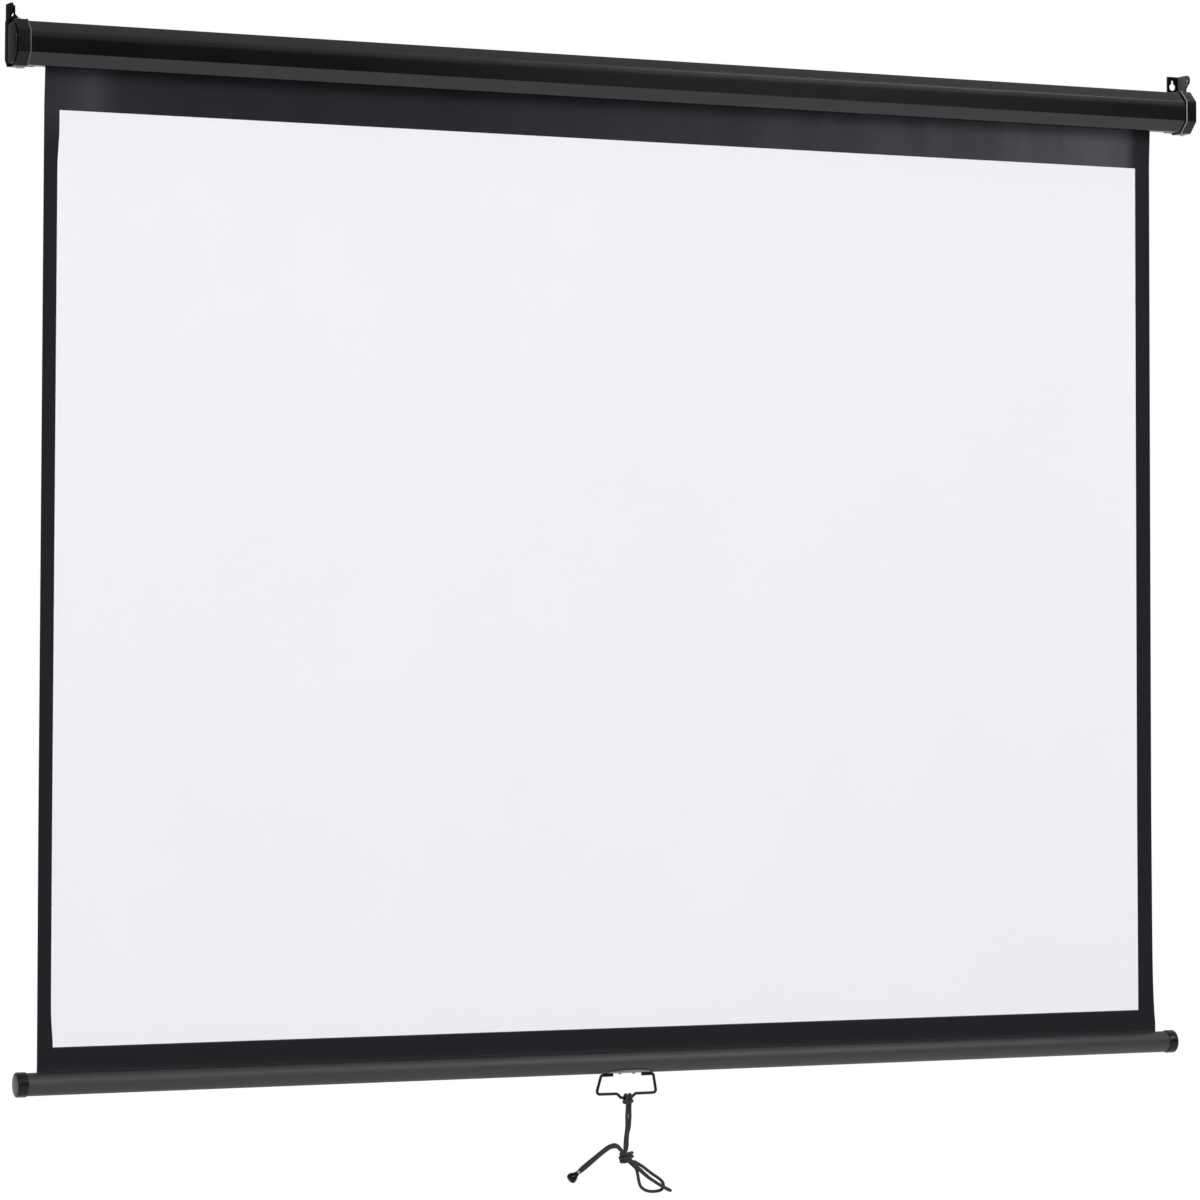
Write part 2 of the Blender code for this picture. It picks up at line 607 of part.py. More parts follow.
def build_roller(steel, plastic, cloth, axis):
    ring = [(-ROLLER_HALF, BORE_RADIUS), (ROLLER_HALF, BORE_RADIUS),
            (ROLLER_HALF, ROLLER_RADIUS), (-ROLLER_HALF, ROLLER_RADIUS)]
    turned("roller_tube", ring, (0, ROLLER_Y, 0), (1, 0, 0), steel, axis, steps=36)

    # The turns that stay on the roller end where the sheet leaves it
    spiral = []
    steps = 28 * WRAPS
    for step in range(steps + 1):
        angle = 2 * math.pi * WRAPS * (1 - step / steps)
        radius = LAST_WRAP - WRAP_PITCH * WRAPS * (1 - step / steps)
        spiral.append((ROLLER_Y + radius * math.cos(angle), radius * math.sin(angle)))
    left = FABRIC_SHIFT - FABRIC_WIDTH / 2
    prism("fabric_roll", strip_section(spiral, CLOTH / 2, CLOTH / 2), left, left + FABRIC_WIDTH, cloth, axis)

    for side, name, flange, bore in ((-1, "idle_plug", IDLE_FLANGE_RADIUS, IDLE_PIN_RADIUS + SEAT),
                                     (1, "lock_plug", LOCK_FLANGE_RADIUS, SHAFT_RADIUS + SEAT)):
        face = SEAT + PLUG_FLANGE
        shape = [(-PLUG_LENGTH, bore), (face, bore), (face, flange), (SEAT, flange), (SEAT, PLUG_RADIUS),
                 (-PLUG_LENGTH, PLUG_RADIUS)]
        plug = turned(name, shape, (side * ROLLER_HALF, ROLLER_Y, 0), (side, 0, 0), plastic, axis)
        if side > 0:
            hole = PAWL_PIN_RADIUS + SEAT
            drill = turned("pawl_pin_hole", [(-1 * mm, 0), (face + 1 * mm, 0), (face + 1 * mm, hole), (-1 * mm, hole)],
                           (ROLLER_HALF, ROLLER_Y, PAWL_PIVOT), (1, 0, 0), plastic, axis, steps=16)
            combine(plug, drill, "DIFFERENCE")

    # The idle pin is fixed in the left plug and turns in the cap's bush
    pin_reach = CAP_END - CAP_WALL - SEAT - ROLLER_HALF
    turned("idle_pin", [(-PLUG_LENGTH, 0), (pin_reach - 1 * mm, 0), (pin_reach - 1 * mm, IDLE_PIN_RADIUS - 1 * mm),
                        (pin_reach - 2 * mm, IDLE_PIN_RADIUS), (-PLUG_LENGTH, IDLE_PIN_RADIUS)],
           (-ROLLER_HALF, ROLLER_Y, 0), (-1, 0, 0), steel, axis, steps=24)
    bush_outer = IDLE_PIN_RADIUS + SEAT + BUSH_WALL
    turned("idle_bush", [(0, IDLE_PIN_RADIUS + SEAT), (BOSS_LENGTH + 1 * mm, IDLE_PIN_RADIUS + SEAT),
                         (BOSS_LENGTH + 1 * mm, bush_outer + 2 * mm), (BOSS_LENGTH + SEAT, bush_outer + 2 * mm),
                         (BOSS_LENGTH + SEAT, bush_outer), (0, bush_outer)],
           (-(CAP_END - CAP_WALL - SEAT), ROLLER_Y, 0), (1, 0, 0), plastic)
    return bush_outer + SEAT


def build_spring(steel, spring_steel, plastic, axis):
    """The fixed shaft, the spring round it, and the anchor that turns with the roller."""
    boss_face = CAP_END - CAP_WALL - BOSS_LENGTH
    collar = ROLLER_HALF - PLUG_LENGTH - SEAT - COLLAR_WIDTH
    spring_end = collar - SEAT
    anchor = spring_end - SPRING_LENGTH - SEAT - ANCHOR_WIDTH
    start = anchor - 2 * mm
    profile = [(start, 0), (boss_face - SEAT, 0), (boss_face - SEAT, SHAFT_RADIUS),
               (collar + COLLAR_WIDTH, SHAFT_RADIUS), (collar + COLLAR_WIDTH, SHAFT_COLLAR),
               (collar, SHAFT_COLLAR), (collar, SHAFT_RADIUS), (start + 1 * mm, SHAFT_RADIUS),
               (start, SHAFT_RADIUS - 1 * mm)]
    shaft = turned("spring_shaft", profile, (0, ROLLER_Y, 0), (1, 0, 0), steel, steps=24)
    tall = TANG_HEIGHT / 2
    deep = TANG_THICK / 2
    tang = prism("shaft_tang", [(ROLLER_Y - deep, -tall), (ROLLER_Y + deep, -tall),
                                (ROLLER_Y + deep, tall), (ROLLER_Y - deep, tall)],
                 boss_face - 2 * mm, CAP_END - CAP_WALL - 2 * SEAT, steel)
    combine(shaft, tang, "UNION")

    bore = SHAFT_RADIUS + SEAT
    turned("spring_anchor", [(anchor, bore), (anchor + ANCHOR_WIDTH, bore), (anchor + ANCHOR_WIDTH, PLUG_RADIUS),
                             (anchor, PLUG_RADIUS)], (0, ROLLER_Y, 0), (1, 0, 0), plastic, axis, steps=28)

    # Both ends of the spring run straight for one wire diameter, into the anchor and the collar
    first = spring_end - SPRING_LENGTH
    lead = SPRING_WIRE
    coil = [Vector((first, ROLLER_Y, SPRING_RADIUS)), Vector((first + lead, ROLLER_Y, SPRING_RADIUS))]
    per_turn = 9
    steps = per_turn * SPRING_TURNS
    for step in range(1, steps):
        angle = 2 * math.pi * step / per_turn
        along = first + 1.5 * lead + (SPRING_LENGTH - 3 * lead) * step / steps
        coil.append(Vector((along, ROLLER_Y + SPRING_RADIUS * math.sin(angle), SPRING_RADIUS * math.cos(angle))))
    coil += [Vector((spring_end - lead, ROLLER_Y, SPRING_RADIUS)), Vector((spring_end, ROLLER_Y, SPRING_RADIUS))]
    tube("torsion_spring", coil, SPRING_WIRE / 2, spring_steel, sides=1)
    print("torsion_spring least gap to itself: %.2f mm" % (least_gap(coil, SPRING_WIRE / 2) / mm))


def build_lock(steel, axis):
    """A ratchet on the fixed shaft, and a pawl that rides round it on the roller's plug."""
    plug_face = ROLLER_HALF + SEAT + PLUG_FLANGE
    wheel_start = plug_face + 3 * mm
    pitch = 360 / RATCHET_TEETH
    tip_angle = 90 + PAWL_LEAD
    first_face = tip_angle + 9
    outline = []
    for tooth in range(RATCHET_TEETH):
        face = first_face + pitch * tooth
        outline += arc((ROLLER_Y, 0), RATCHET_ROOT, face - 14, face, 2)
        outline += arc((ROLLER_Y, 0), RATCHET_TIP, face, face + 8, 1)
    wheel = prism("ratchet_wheel", outline, wheel_start, wheel_start + RATCHET_WIDTH, steel)
    bore = SHAFT_RADIUS + SEAT
    drill = turned("ratchet_bore", [(-2 * mm, 0), (RATCHET_WIDTH + 2 * mm, 0), (RATCHET_WIDTH + 2 * mm, bore),
                                    (-2 * mm, bore)], (wheel_start, ROLLER_Y, 0), (1, 0, 0), steel, steps=24)
    combine(wheel, drill, "DIFFERENCE")

    # The pawl is drawn dropped into its notch and then swung clear about its pivot
    centre = Vector((ROLLER_Y, PAWL_PIVOT))
    angle = math.radians(tip_angle)
    tip = Vector((ROLLER_Y + PAWL_TIP * math.cos(angle), PAWL_TIP * math.sin(angle)))
    reach = (tip - centre).normalized()
    across = Vector((-reach.y, reach.x))
    hub = 3.2 * mm
    heel = 1.1 * mm
    toe = 0.7 * mm
    towards = math.degrees(math.atan2(reach.y, reach.x))
    shape = arc(centre, hub, towards + 60, towards + 300, 10)
    shape += [tuple(tip - reach * 4 * mm - across * heel), tuple(tip - across * toe),
              tuple(tip + across * toe), tuple(tip - reach * 3 * mm + across * heel)]
    swing = Matrix.Rotation(math.radians(-PAWL_LIFT), 2)
    lifted = [tuple(centre + swing @ (Vector(point) - centre)) for point in shape]
    pawl_start = wheel_start + (RATCHET_WIDTH - PAWL_WIDTH) / 2
    hinge = pivot("pawl_axis", (pawl_start, ROLLER_Y, PAWL_PIVOT))
    hinge.parent = axis
    hinge.matrix_parent_inverse = Matrix.Translation(-axis.location)
    pawl = prism("lock_pawl", lifted, pawl_start, pawl_start + PAWL_WIDTH, steel)
    pawl.parent = hinge
    pawl.matrix_parent_inverse = Matrix.Translation(-Vector((pawl_start, ROLLER_Y, PAWL_PIVOT)))
    hole = PAWL_PIN_RADIUS + SEAT
    drill = turned("pawl_bore", [(-2 * mm, 0), (PAWL_WIDTH + 2 * mm, 0), (PAWL_WIDTH + 2 * mm, hole), (-2 * mm, hole)],
                   (pawl_start, ROLLER_Y, PAWL_PIVOT), (1, 0, 0), steel, steps=16)
    combine(pawl, drill, "DIFFERENCE")

    # The shouldered pin stands in the plug's flange and its head keeps the pawl on
    start = ROLLER_HALF + 2 * SEAT
    head = pawl_start + PAWL_WIDTH + SEAT
    turned("pawl_pin", [(start, 0), (head + 1.2 * mm, 0), (head + 1.2 * mm, 2.4 * mm), (head, 2.4 * mm),
                        (head, PAWL_PIN_RADIUS), (pawl_start - SEAT, PAWL_PIN_RADIUS), (pawl_start - SEAT, 2.4 * mm),
                        (plug_face + SEAT, 2.4 * mm), (plug_face + SEAT, PAWL_PIN_RADIUS), (start, PAWL_PIN_RADIUS)],
           (0, ROLLER_Y, PAWL_PIVOT), (1, 0, 0), steel, axis, steps=16)


# Screen sheet and the weight tube in its hem

def build_sheet(cloth):
    """One cloth from the roller down to the weight tube, with a welded pocket round the rod."""
    loop = HEM_ROD_RADIUS + SEAT + CLOTH / 2
    ply = (CLOTH + WRAP_GAP) / 2
    neck = HEM_Z + HEM_SEAT + 2 * mm
    tangent = math.degrees(math.acos(loop / (neck - HEM_Z)))
    path = [(SHEET_Y, -2 * SEAT), (SHEET_Y, BAR_Z + TUBE_RADIUS + HEM_HEIGHT + 6 * mm),
            (SHEET_Y - ply, BAR_Z + TUBE_RADIUS + HEM_HEIGHT + 2 * mm), (SHEET_Y - ply, neck)]
    path += arc((SHEET_Y, HEM_Z), loop, 90 + tangent, 450 - tangent, 18)
    path += [(SHEET_Y + ply, neck), (SHEET_Y + ply, BAR_Z + TUBE_RADIUS + HEM_HEIGHT)]
    left = FABRIC_SHIFT - FABRIC_WIDTH / 2
    prism("screen_sheet", strip_section(path, CLOTH / 2, CLOTH / 2), left, left + FABRIC_WIDTH, cloth)


def build_bar(paint, plastic, steel, axis):
    middle = TUBE_RADIUS - TUBE_WALL / 2
    open_half = math.degrees(math.asin(TUBE_SLOT / 2 / middle))
    path = arc((SHEET_Y, BAR_Z), middle, 90 - open_half, -270 + open_half, 36)
    tube_half = BAR_SPAN / 2 - BAR_CAP_WALL - SEAT
    prism("bar_tube", strip_section(path, TUBE_WALL / 2, TUBE_WALL / 2), BAR_SHIFT - tube_half,
          BAR_SHIFT + tube_half, paint, axis)

    rod = FABRIC_WIDTH / 2 + ROD_OVERHANG
    turned("hem_rod", [(-rod, 0), (rod, 0), (rod, HEM_ROD_RADIUS), (-rod, HEM_ROD_RADIUS)],
           (FABRIC_SHIFT, SHEET_Y, HEM_Z), (1, 0, 0), steel, axis, steps=16)

    bore = TUBE_RADIUS + SEAT
    collar = bore + COLLAR_WALL
    for side, name in ((-1, "left_bar_cap"), (1, "right_bar_cap")):
        end = BAR_SPAN / 2
        mouth = end - BAR_CAP_LENGTH
        shape = [(mouth - COLLAR_LENGTH, bore), (mouth - COLLAR_LENGTH, collar), (mouth, collar),
                 (mouth + 0.4 * mm, BAR_CAP_RADIUS - 0.6 * mm), (mouth + 1 * mm, BAR_CAP_RADIUS)]
        shape += arc((end - 0.6 * mm - BAR_CAP_ROUND, BAR_CAP_RADIUS - BAR_CAP_ROUND), BAR_CAP_ROUND, 90, 15, 4)
        shape += [(end - 0.1 * mm, BAR_CAP_RADIUS * 0.55), (end, 0), (end - BAR_CAP_WALL, 0), (end - BAR_CAP_WALL, bore)]
        turned(name, shape, (BAR_SHIFT, SHEET_Y, BAR_Z), (side, 0, 0), plastic, axis, steps=36)


# Pull handle

def build_saddle(steel, axis):
    """A lens-shaped plate that hugs the tube's underside, with a hinge barrel at each end."""
    inner = TUBE_RADIUS + SEAT
    half = SADDLE_LENGTH / 2
    along = 16
    around = 11
    bm = bmesh.new()
    layers = []
    for radius in (inner, inner + SADDLE_WALL):
        grid = []
        for i in range(along + 1):
            share = 2 * i / along - 1
            spread = math.radians(SADDLE_END + (SADDLE_MIDDLE - SADDLE_END) * (1 - share ** 2))
            row = []
            for j in range(around + 1):
                angle = spread * (2 * j / around - 1)
                row.append(bm.verts.new((HANDLE_X + half * share, SHEET_Y + radius * math.sin(angle),
                                         BAR_Z - radius * math.cos(angle))))
            grid.append(row)
        layers.append(grid)
    for grid in layers:
        for i in range(along):
            for j in range(around):
                bm.faces.new((grid[i][j], grid[i + 1][j], grid[i + 1][j + 1], grid[i][j + 1]))
    near, far = layers
    for i in range(along):
        for j in (0, around):
            bm.faces.new((near[i][j], near[i + 1][j], far[i + 1][j], far[i][j]))
    for j in range(around):
        for i in (0, along):
            bm.faces.new((near[i][j], near[i][j + 1], far[i][j + 1], far[i][j]))
    saddle = add_object("handle_saddle", mesh_from("handle_saddle", bm), steel, axis)

    length = BARREL_OUTER - BARREL_INNER
    for side, name in ((-1, "left_barrel"), (1, "right_barrel")):
        ring = [(0, BARREL_BORE), (length, BARREL_BORE), (length, BARREL_RADIUS), (0, BARREL_RADIUS)]
        barrel = turned(name, ring, (HANDLE_X + side * BARREL_INNER, SHEET_Y, PIVOT_Z), (side, 0, 0), steel, steps=20)
        combine(saddle, barrel, "UNION")


def build_bail(wire, parent):
    half = [(BAIL_PIN, 0.0, 0.0), (BAIL_TOP, 0.0, PIN_CORNER), (BAIL_FOOT, -BAIL_HEIGHT, BAIL_CORNER),
            (DIP_OUTER, -BAIL_HEIGHT, 4 * mm), (DIP_INNER, -BAIL_HEIGHT - DIP_DEPTH, 3 * mm)]
    corners = half + [(-x, z, radius) for x, z, radius in half[::-1]]
    points = [PIVOT + Vector((x, 0, z)) for x, z in rounded(corners, 5)]
    tube("handle_bail", points, WIRE_RADIUS, wire, parent, sides=2)


# Pull cord: two legs hitched over the bail, a gathering knot, two loops, a tail and a bell

def hitch_route():
    """Both legs and the cow hitch: the bight's bar crosses in front of the legs."""
    wrap = [(3.1, -0.3, -17.5), (3.15, -1.3, -11), (3.3, -3.8, -5.7), (3.4, -5.5, -0.9), (3.7, -4.1, 3.8),
            (4.3, 0.0, 5.6), (5.4, 4.1, 3.8), (6.8, 5.6, -0.3), (8.5, 4.3, -4.8), (9.7, 0.5, -7.7),
            (8.9, -4.4, -9.7), (5.5, -8.0, -9.8)]
    left_leg = [(-3.9, -1.9, -88.9), (-3.4, -1.9, -70), (-1.6, -1.7, -50), (-1.4, -0.8, -32)]
    right_leg = [(-1.5, 4.3, -88.9), (-1.3, 4.4, -64), (2.4, 3.6, -50), (5.0, 1.2, -32)]
    left = left_leg + [(-x, y, z) for x, y, z in wrap]
    right = right_leg + wrap
    return [HITCH + Vector(point) * mm for point in left + [(0, -8.9, -9.2)] + right[::-1]]


def knot_surface(angle, depth, out=CORD_SEAT):
    """A point just off the gathering knot, at an angle in degrees in the X-Z plane."""
    flat = math.radians(angle)
    way = Vector((math.cos(flat), depth, math.sin(flat))).normalized()
    shape = Vector((way.x / KNOT_RADII[0], way.y / KNOT_RADII[1], way.z / KNOT_RADII[2]))
    return KNOT + way * (1 / shape.length + out)


def cord_route(leave, points, enter=None):
    """Leave the knot square to it, follow the points, and come back to it if asked."""
    square = CORD_SEAT + CORD_LEAD
    route = [knot_surface(*leave), knot_surface(*leave, out=square)]
    route += [KNOT + Vector(point) * mm for point in points]
    if enter:
        route += [knot_surface(*enter, out=square), knot_surface(*enter)]
    return route


LONG_LOOP = [(28.0, 0.2, -12.8), (36.8, 0.6, -18.9), (54.9, 3.5, -30.2), (65.7, 6.5, -38.2), (71.1, 8.9, -45.5),
             (72.0, 10.0, -53.7), (69.0, 10.1, -59.8), (62.0, 9.7, -61.9), (49.5, 8.3, -61.7),
             (36.9, 6.5, -58.7), (28.0, 4.4, -50.0), (24.4, 3.4, -39.5), (19.6, 3.0, -28.2), (12.0, 3.2, -20.6)]
SHORT_LOOP = [(27.8, -3.5, -21.0), (42.3, -4.2, -34.6), (60.0, -5.9, -46.1), (70.0, -7.0, -52.4),
              (75.2, -7.2, -55.7), (78.9, -5.6, -58.1), (80.4, -1.9, -59.1), (78.9, 1.7, -58.1),
              (75.0, 3.3, -55.5), (64.0, 3.4, -48.6), (42.3, 3.4, -34.6), (27.8, 3.4, -21.0)]
TAIL = [(-15.8, 0.0, 20.6), (-21.5, 0.0, 22.0), (-28.0, 0.0, 20.6), (-34.0, 0.0, 16.4), (-50.0, 0.0, 5.2),
        (-67.5, 0.0, -6.8), (-87.5, 0.0, -21.5)]


def build_cord(cord, black, parent):
    legs = resample(hitch_route(), 76)
    tube("cord_legs", legs, CORD / 2, cord, parent, sides=2)
    print("cord_legs least gap to itself: %.2f mm" % (least_gap(legs, CORD / 2) / mm))

    # The gathering knot is an egg with shallow ribs where its turns lie
    profile = []
    rows = 16
    for row in range(rows + 1):
        lift = math.pi * row / rows - math.pi / 2
        rib = KNOT_RIB_DEPTH * (math.cos(2 * math.pi * KNOT_RIBS * row / rows) + 1) / 2
        profile.append((KNOT_RADII[2] * math.sin(lift), max(0.0, math.cos(lift) * (KNOT_RADII[0] - rib))))
    knot = turned("gather_knot", profile, KNOT, (0, 0, 1), cord, parent, steps=20)
    narrow = Matrix.Translation(KNOT) @ Matrix.Scale(KNOT_RADII[1] / KNOT_RADII[0], 4, (0, 1, 0))
    knot.data.transform(narrow @ Matrix.Translation(-KNOT))

    total = length_of(legs)
    for name, route, count in (("cord_loop_long", cord_route((-16, 0.0), LONG_LOOP, (-64, 0.22)), 30),
                               ("cord_loop_short", cord_route((-42, -0.32), SHORT_LOOP, (-36, 0.34)), 32),
                               ("cord_tail", cord_route((128, 0.0), TAIL), 18)):
        points = resample(route, count)
        tube(name, points, CORD / 2, cord, parent, sides=1 if "loop" in name else 2)
        total += length_of(points)
        print("%s: %.0f mm long, least gap to itself %.2f mm"
              % (name, length_of(points) / mm, least_gap(points, CORD / 2) / mm))
    print("cord shown outside its knot: %.0f mm" % (total / mm))

    # The bell closes over the tail's end
    end = KNOT + Vector(TAIL[-1]) * mm
    way = (Vector(TAIL[-1]) - Vector(TAIL[-2])).normalized()
    shape = [(SEAT, 0), (SEAT, 3.3 * mm), (1.2 * mm, 4.0 * mm), (2.6 * mm, 4.0 * mm), (3.2 * mm, 3.7 * mm),
             (6.5 * mm, 5.1 * mm), (10.2 * mm, 7.3 * mm), (13.5 * mm, 8.4 * mm), (16.2 * mm, 8.4 * mm),
             (18.6 * mm, 6.9 * mm), (BELL_LENGTH - 0.4 * mm, 4.4 * mm), (BELL_LENGTH, 2.2 * mm), (BELL_LENGTH, 0)]
    turned("cord_bell", shape, end, way, black, parent, steps=24)


def build():
    clear_scene()
    casing_paint = finish("casing_paint", (0.018, 0.018, 0.019), 0.38, 0.3)
    cap_plastic = finish("cap_plastic", (0.012, 0.012, 0.013), 0.35)
    bracket_steel = finish("bracket_paint", (0.03, 0.03, 0.032), 0.42, 0.5)
    bare_steel = finish("zinc_steel", (0.55, 0.55, 0.56), 0.35, 1.0)
    spring_steel = finish("spring_steel", (0.32, 0.31, 0.3), 0.4, 1.0)
    nylon = finish("nylon", (0.7, 0.69, 0.65), 0.5)
    screen_cloth = finish("screen_cloth", (0.86, 0.86, 0.88), 0.75)
    bar_paint = finish("bar_paint", (0.04, 0.04, 0.042), 0.4, 0.4)
    handle_paint = finish("handle_paint", (0.015, 0.015, 0.016), 0.4, 0.4)
    cord_weave = finish("cord_weave", (0.03, 0.03, 0.032), 0.85)
    bell_gloss = finish("bell_gloss", (0.006, 0.006, 0.006), 0.12)

    roller_axis = pivot("roller_axis", (0, ROLLER_Y, 0))
    bar_axis = pivot("bar_travel", (0, SHEET_Y, BAR_Z))
    bail_axis = pivot("bail_axis", PIVOT)
    cord_axis = pivot("cord_axis", HITCH)

    build_casing(casing_paint)
    bush_seat = build_roller(bare_steel, nylon, screen_cloth, roller_axis)
    for side in (-1, 1):
        build_end_cap(side, cap_plastic, bush_seat)
        build_cover(side, cap_plastic)
        build_bracket(side, bracket_steel)
    build_spring(bare_steel, spring_steel, nylon, roller_axis)
    build_lock(bare_steel, roller_axis)
    build_sheet(screen_cloth)
    build_bar(bar_paint, cap_plastic, bare_steel, bar_axis)
    build_saddle(handle_paint, bar_axis)
    build_bail(handle_paint, bail_axis)
    build_cord(cord_weave, bell_gloss, cord_axis)


build()
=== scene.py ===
"""The looks of a pull-down projection screen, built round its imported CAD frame.

Metres, in the frame's own axes: X along the casing, -Y to the room, +Y to the wall, Z up.
"""
from math import acos, asin, atan2, cos, exp, pi, radians, sin, sqrt, tan

import bmesh
import bpy
import numpy as np
from mathutils import Matrix, Vector


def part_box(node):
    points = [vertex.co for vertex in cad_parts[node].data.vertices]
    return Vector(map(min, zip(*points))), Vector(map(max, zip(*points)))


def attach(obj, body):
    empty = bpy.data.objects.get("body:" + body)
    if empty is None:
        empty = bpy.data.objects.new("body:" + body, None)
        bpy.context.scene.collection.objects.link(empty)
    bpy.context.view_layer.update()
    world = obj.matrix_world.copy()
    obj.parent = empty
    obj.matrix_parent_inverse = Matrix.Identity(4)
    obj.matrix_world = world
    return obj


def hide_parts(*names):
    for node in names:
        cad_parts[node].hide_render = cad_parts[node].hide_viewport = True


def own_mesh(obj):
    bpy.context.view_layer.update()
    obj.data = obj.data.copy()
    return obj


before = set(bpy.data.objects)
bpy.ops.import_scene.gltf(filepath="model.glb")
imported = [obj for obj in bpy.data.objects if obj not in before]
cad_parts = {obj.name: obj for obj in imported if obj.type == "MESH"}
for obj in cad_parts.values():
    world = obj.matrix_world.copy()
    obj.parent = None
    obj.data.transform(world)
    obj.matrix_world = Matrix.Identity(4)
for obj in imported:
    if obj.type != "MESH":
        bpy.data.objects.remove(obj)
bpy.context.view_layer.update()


# Camera
# A long lens stands low and to the left of the screen, and looks slightly up at it.
# The picture's middle is shifted down and right, as a crop of a wider picture is.
def shown(name, data):
    """Put data into the scene as an object."""
    made = bpy.data.objects.new(name, data)
    bpy.context.scene.collection.objects.link(made)
    return made


camera_yaw, camera_pitch, camera_roll = 0.43029, 0.04895, 0.00199
camera_place = (-3.2513, -7.1406, -1.0036)
ahead = Vector((sin(camera_yaw) * cos(camera_pitch),
                cos(camera_yaw) * cos(camera_pitch), sin(camera_pitch)))
sideways = Vector((cos(camera_yaw), -sin(camera_yaw), 0.0))
upwards = sideways.cross(ahead)
camera_right = sideways * cos(camera_roll) + upwards * sin(camera_roll)
camera_up = upwards * cos(camera_roll) - sideways * sin(camera_roll)
lens = bpy.data.cameras.new("camera")
lens.lens = 136.83
lens.sensor_width = 36
lens.shift_x = -0.0326
lens.shift_y = -0.1330
lens.clip_end = 60
camera = shown("camera", lens)
camera_turn = Matrix((camera_right, camera_up, -ahead)).transposed().to_4x4()
camera.matrix_world = Matrix.Translation(camera_place) @ camera_turn
bpy.context.scene.camera = camera


# Studio
# A pale seamless floor under the hanging screen, a white background, and large soft lamps.
# The floor and background read as plain white to the camera, and in gloss, without lighting the object.
def feed(tree, node, feeds):
    """Set a node's inputs to values, or link them to other nodes' outputs."""
    for key, value in feeds.items():
        if isinstance(value, bpy.types.NodeSocket):
            tree.links.new(value, node.inputs[key])
        else:
            node.inputs[key].default_value = value


def joined(tree, kind, feeds=None, **settings):
    """Add a node, set its properties and feed its inputs."""
    made = tree.nodes.new(kind)
    for key, value in settings.items():
        setattr(made, key, value)
    feed(tree, made, feeds or {})
    return made


def fed(tree, kind, feeds=None, **settings):
    """The first output of a node that is added and fed."""
    return joined(tree, kind, feeds, **settings).outputs[0]


def maths(tree, operation, *values):
    """One operation on outputs and numbers."""
    return fed(tree, "ShaderNodeMath", dict(enumerate(values)), operation=operation)


def ranged(tree, value, low, high, least=0.0, most=1.0):
    """A value brought from the range low to high into the range least to most, and held within it."""
    return fed(tree, "ShaderNodeMapRange", {
        "Value": value, "From Min": low, "From Max": high, "To Min": least, "To Max": most})


def ramped(tree, share, stops):
    """A grey read off a ramp. Its stops are (place, grey), with the two ends given first."""
    ramp = joined(tree, "ShaderNodeValToRGB", {0: share})
    places = ramp.color_ramp.elements
    for place, grey in stops:
        stop = places[0] if place == 0.0 else places[-1] if place == 1.0 else places.new(place)
        stop.color = (grey, grey, grey, 1)
    return ramp.outputs[0]


def lamp(name, place, aim, width, height, watts, colour=(1, 1, 1)):
    """A soft rectangular lamp that points at its aim."""
    light = bpy.data.lights.new(name, "AREA")
    light.shape = "RECTANGLE"
    light.size = width
    light.size_y = height
    light.energy = watts
    light.color = colour
    made = shown(name, light)
    made.location = place
    made.rotation_euler = (Vector(aim) - Vector(place)).to_track_quat("-Z", "Y").to_euler()


world = bpy.data.worlds.new("studio")
world.use_nodes = True
bpy.context.scene.world = world
sky = world.node_tree
sky.nodes.clear()
ways = joined(sky, "ShaderNodeSeparateXYZ", {0: joined(sky, "ShaderNodeTexCoord").outputs["Generated"]})
# The room is dark at eye level and bright above, so that upright faces stay black and slopes show their form
overhead = ramped(sky, ways.outputs["Z"], [
    (0.0, 0.045), (1.0, 0.5), (0.22, 0.045), (0.46, 0.78), (0.7, 0.82), (0.88, 0.55)])
brightness = maths(sky, "MAXIMUM", overhead, ranged(sky, ways.outputs["Y"], 0.0, 0.4, 0.0, 0.2))
room = fed(sky, "ShaderNodeBackground", {"Color": (0.96, 0.97, 1.0, 1), "Strength": brightness})
plain = fed(sky, "ShaderNodeBackground", {"Color": (1, 1, 1, 1), "Strength": 1.0})
rays = joined(sky, "ShaderNodeLightPath")
backdrop = fed(sky, "ShaderNodeMixShader", {0: rays.outputs["Is Camera Ray"], 1: room, 2: plain})
joined(sky, "ShaderNodeOutputWorld", {0: backdrop})

floor_z, reach = -2.25, 20
floor_mesh = bpy.data.meshes.new("floor")
floor_mesh.from_pydata([(x * reach, y * reach, floor_z) for x, y in ((-1, -1), (1, -1), (1, 1), (-1, 1))],
                       [], [(0, 1, 2, 3)])
floor = shown("floor", floor_mesh)
paper = bpy.data.materials.new("pale_floor")
paper.use_nodes = True
tree = paper.node_tree
tree.nodes.clear()
rays = joined(tree, "ShaderNodeLightPath")
matt = fed(tree, "ShaderNodeBsdfDiffuse", {"Color": (0.8, 0.8, 0.8, 1)})
white = fed(tree, "ShaderNodeEmission", {"Color": (1, 1, 1, 1), "Strength": 1.06})
mirrored = maths(tree, "MAXIMUM", rays.outputs["Is Camera Ray"], rays.outputs["Is Glossy Ray"])
through = maths(tree, "MAXIMUM", mirrored, rays.outputs["Is Transmission Ray"])
# About an eighth of the matt floor stays in the picture, so that it keeps the screen's faint shadow
glow = maths(tree, "MULTIPLY", through, 0.88)
from_above = fed(tree, "ShaderNodeMixShader", {0: glow, 1: matt, 2: white})
from_below = fed(tree, "ShaderNodeBsdfTransparent")
joined(tree, "ShaderNodeOutputMaterial", {0: fed(tree, "ShaderNodeMixShader", {
    0: joined(tree, "ShaderNodeNewGeometry").outputs["Backfacing"], 1: from_above, 2: from_below})})
floor_mesh.materials.append(paper)

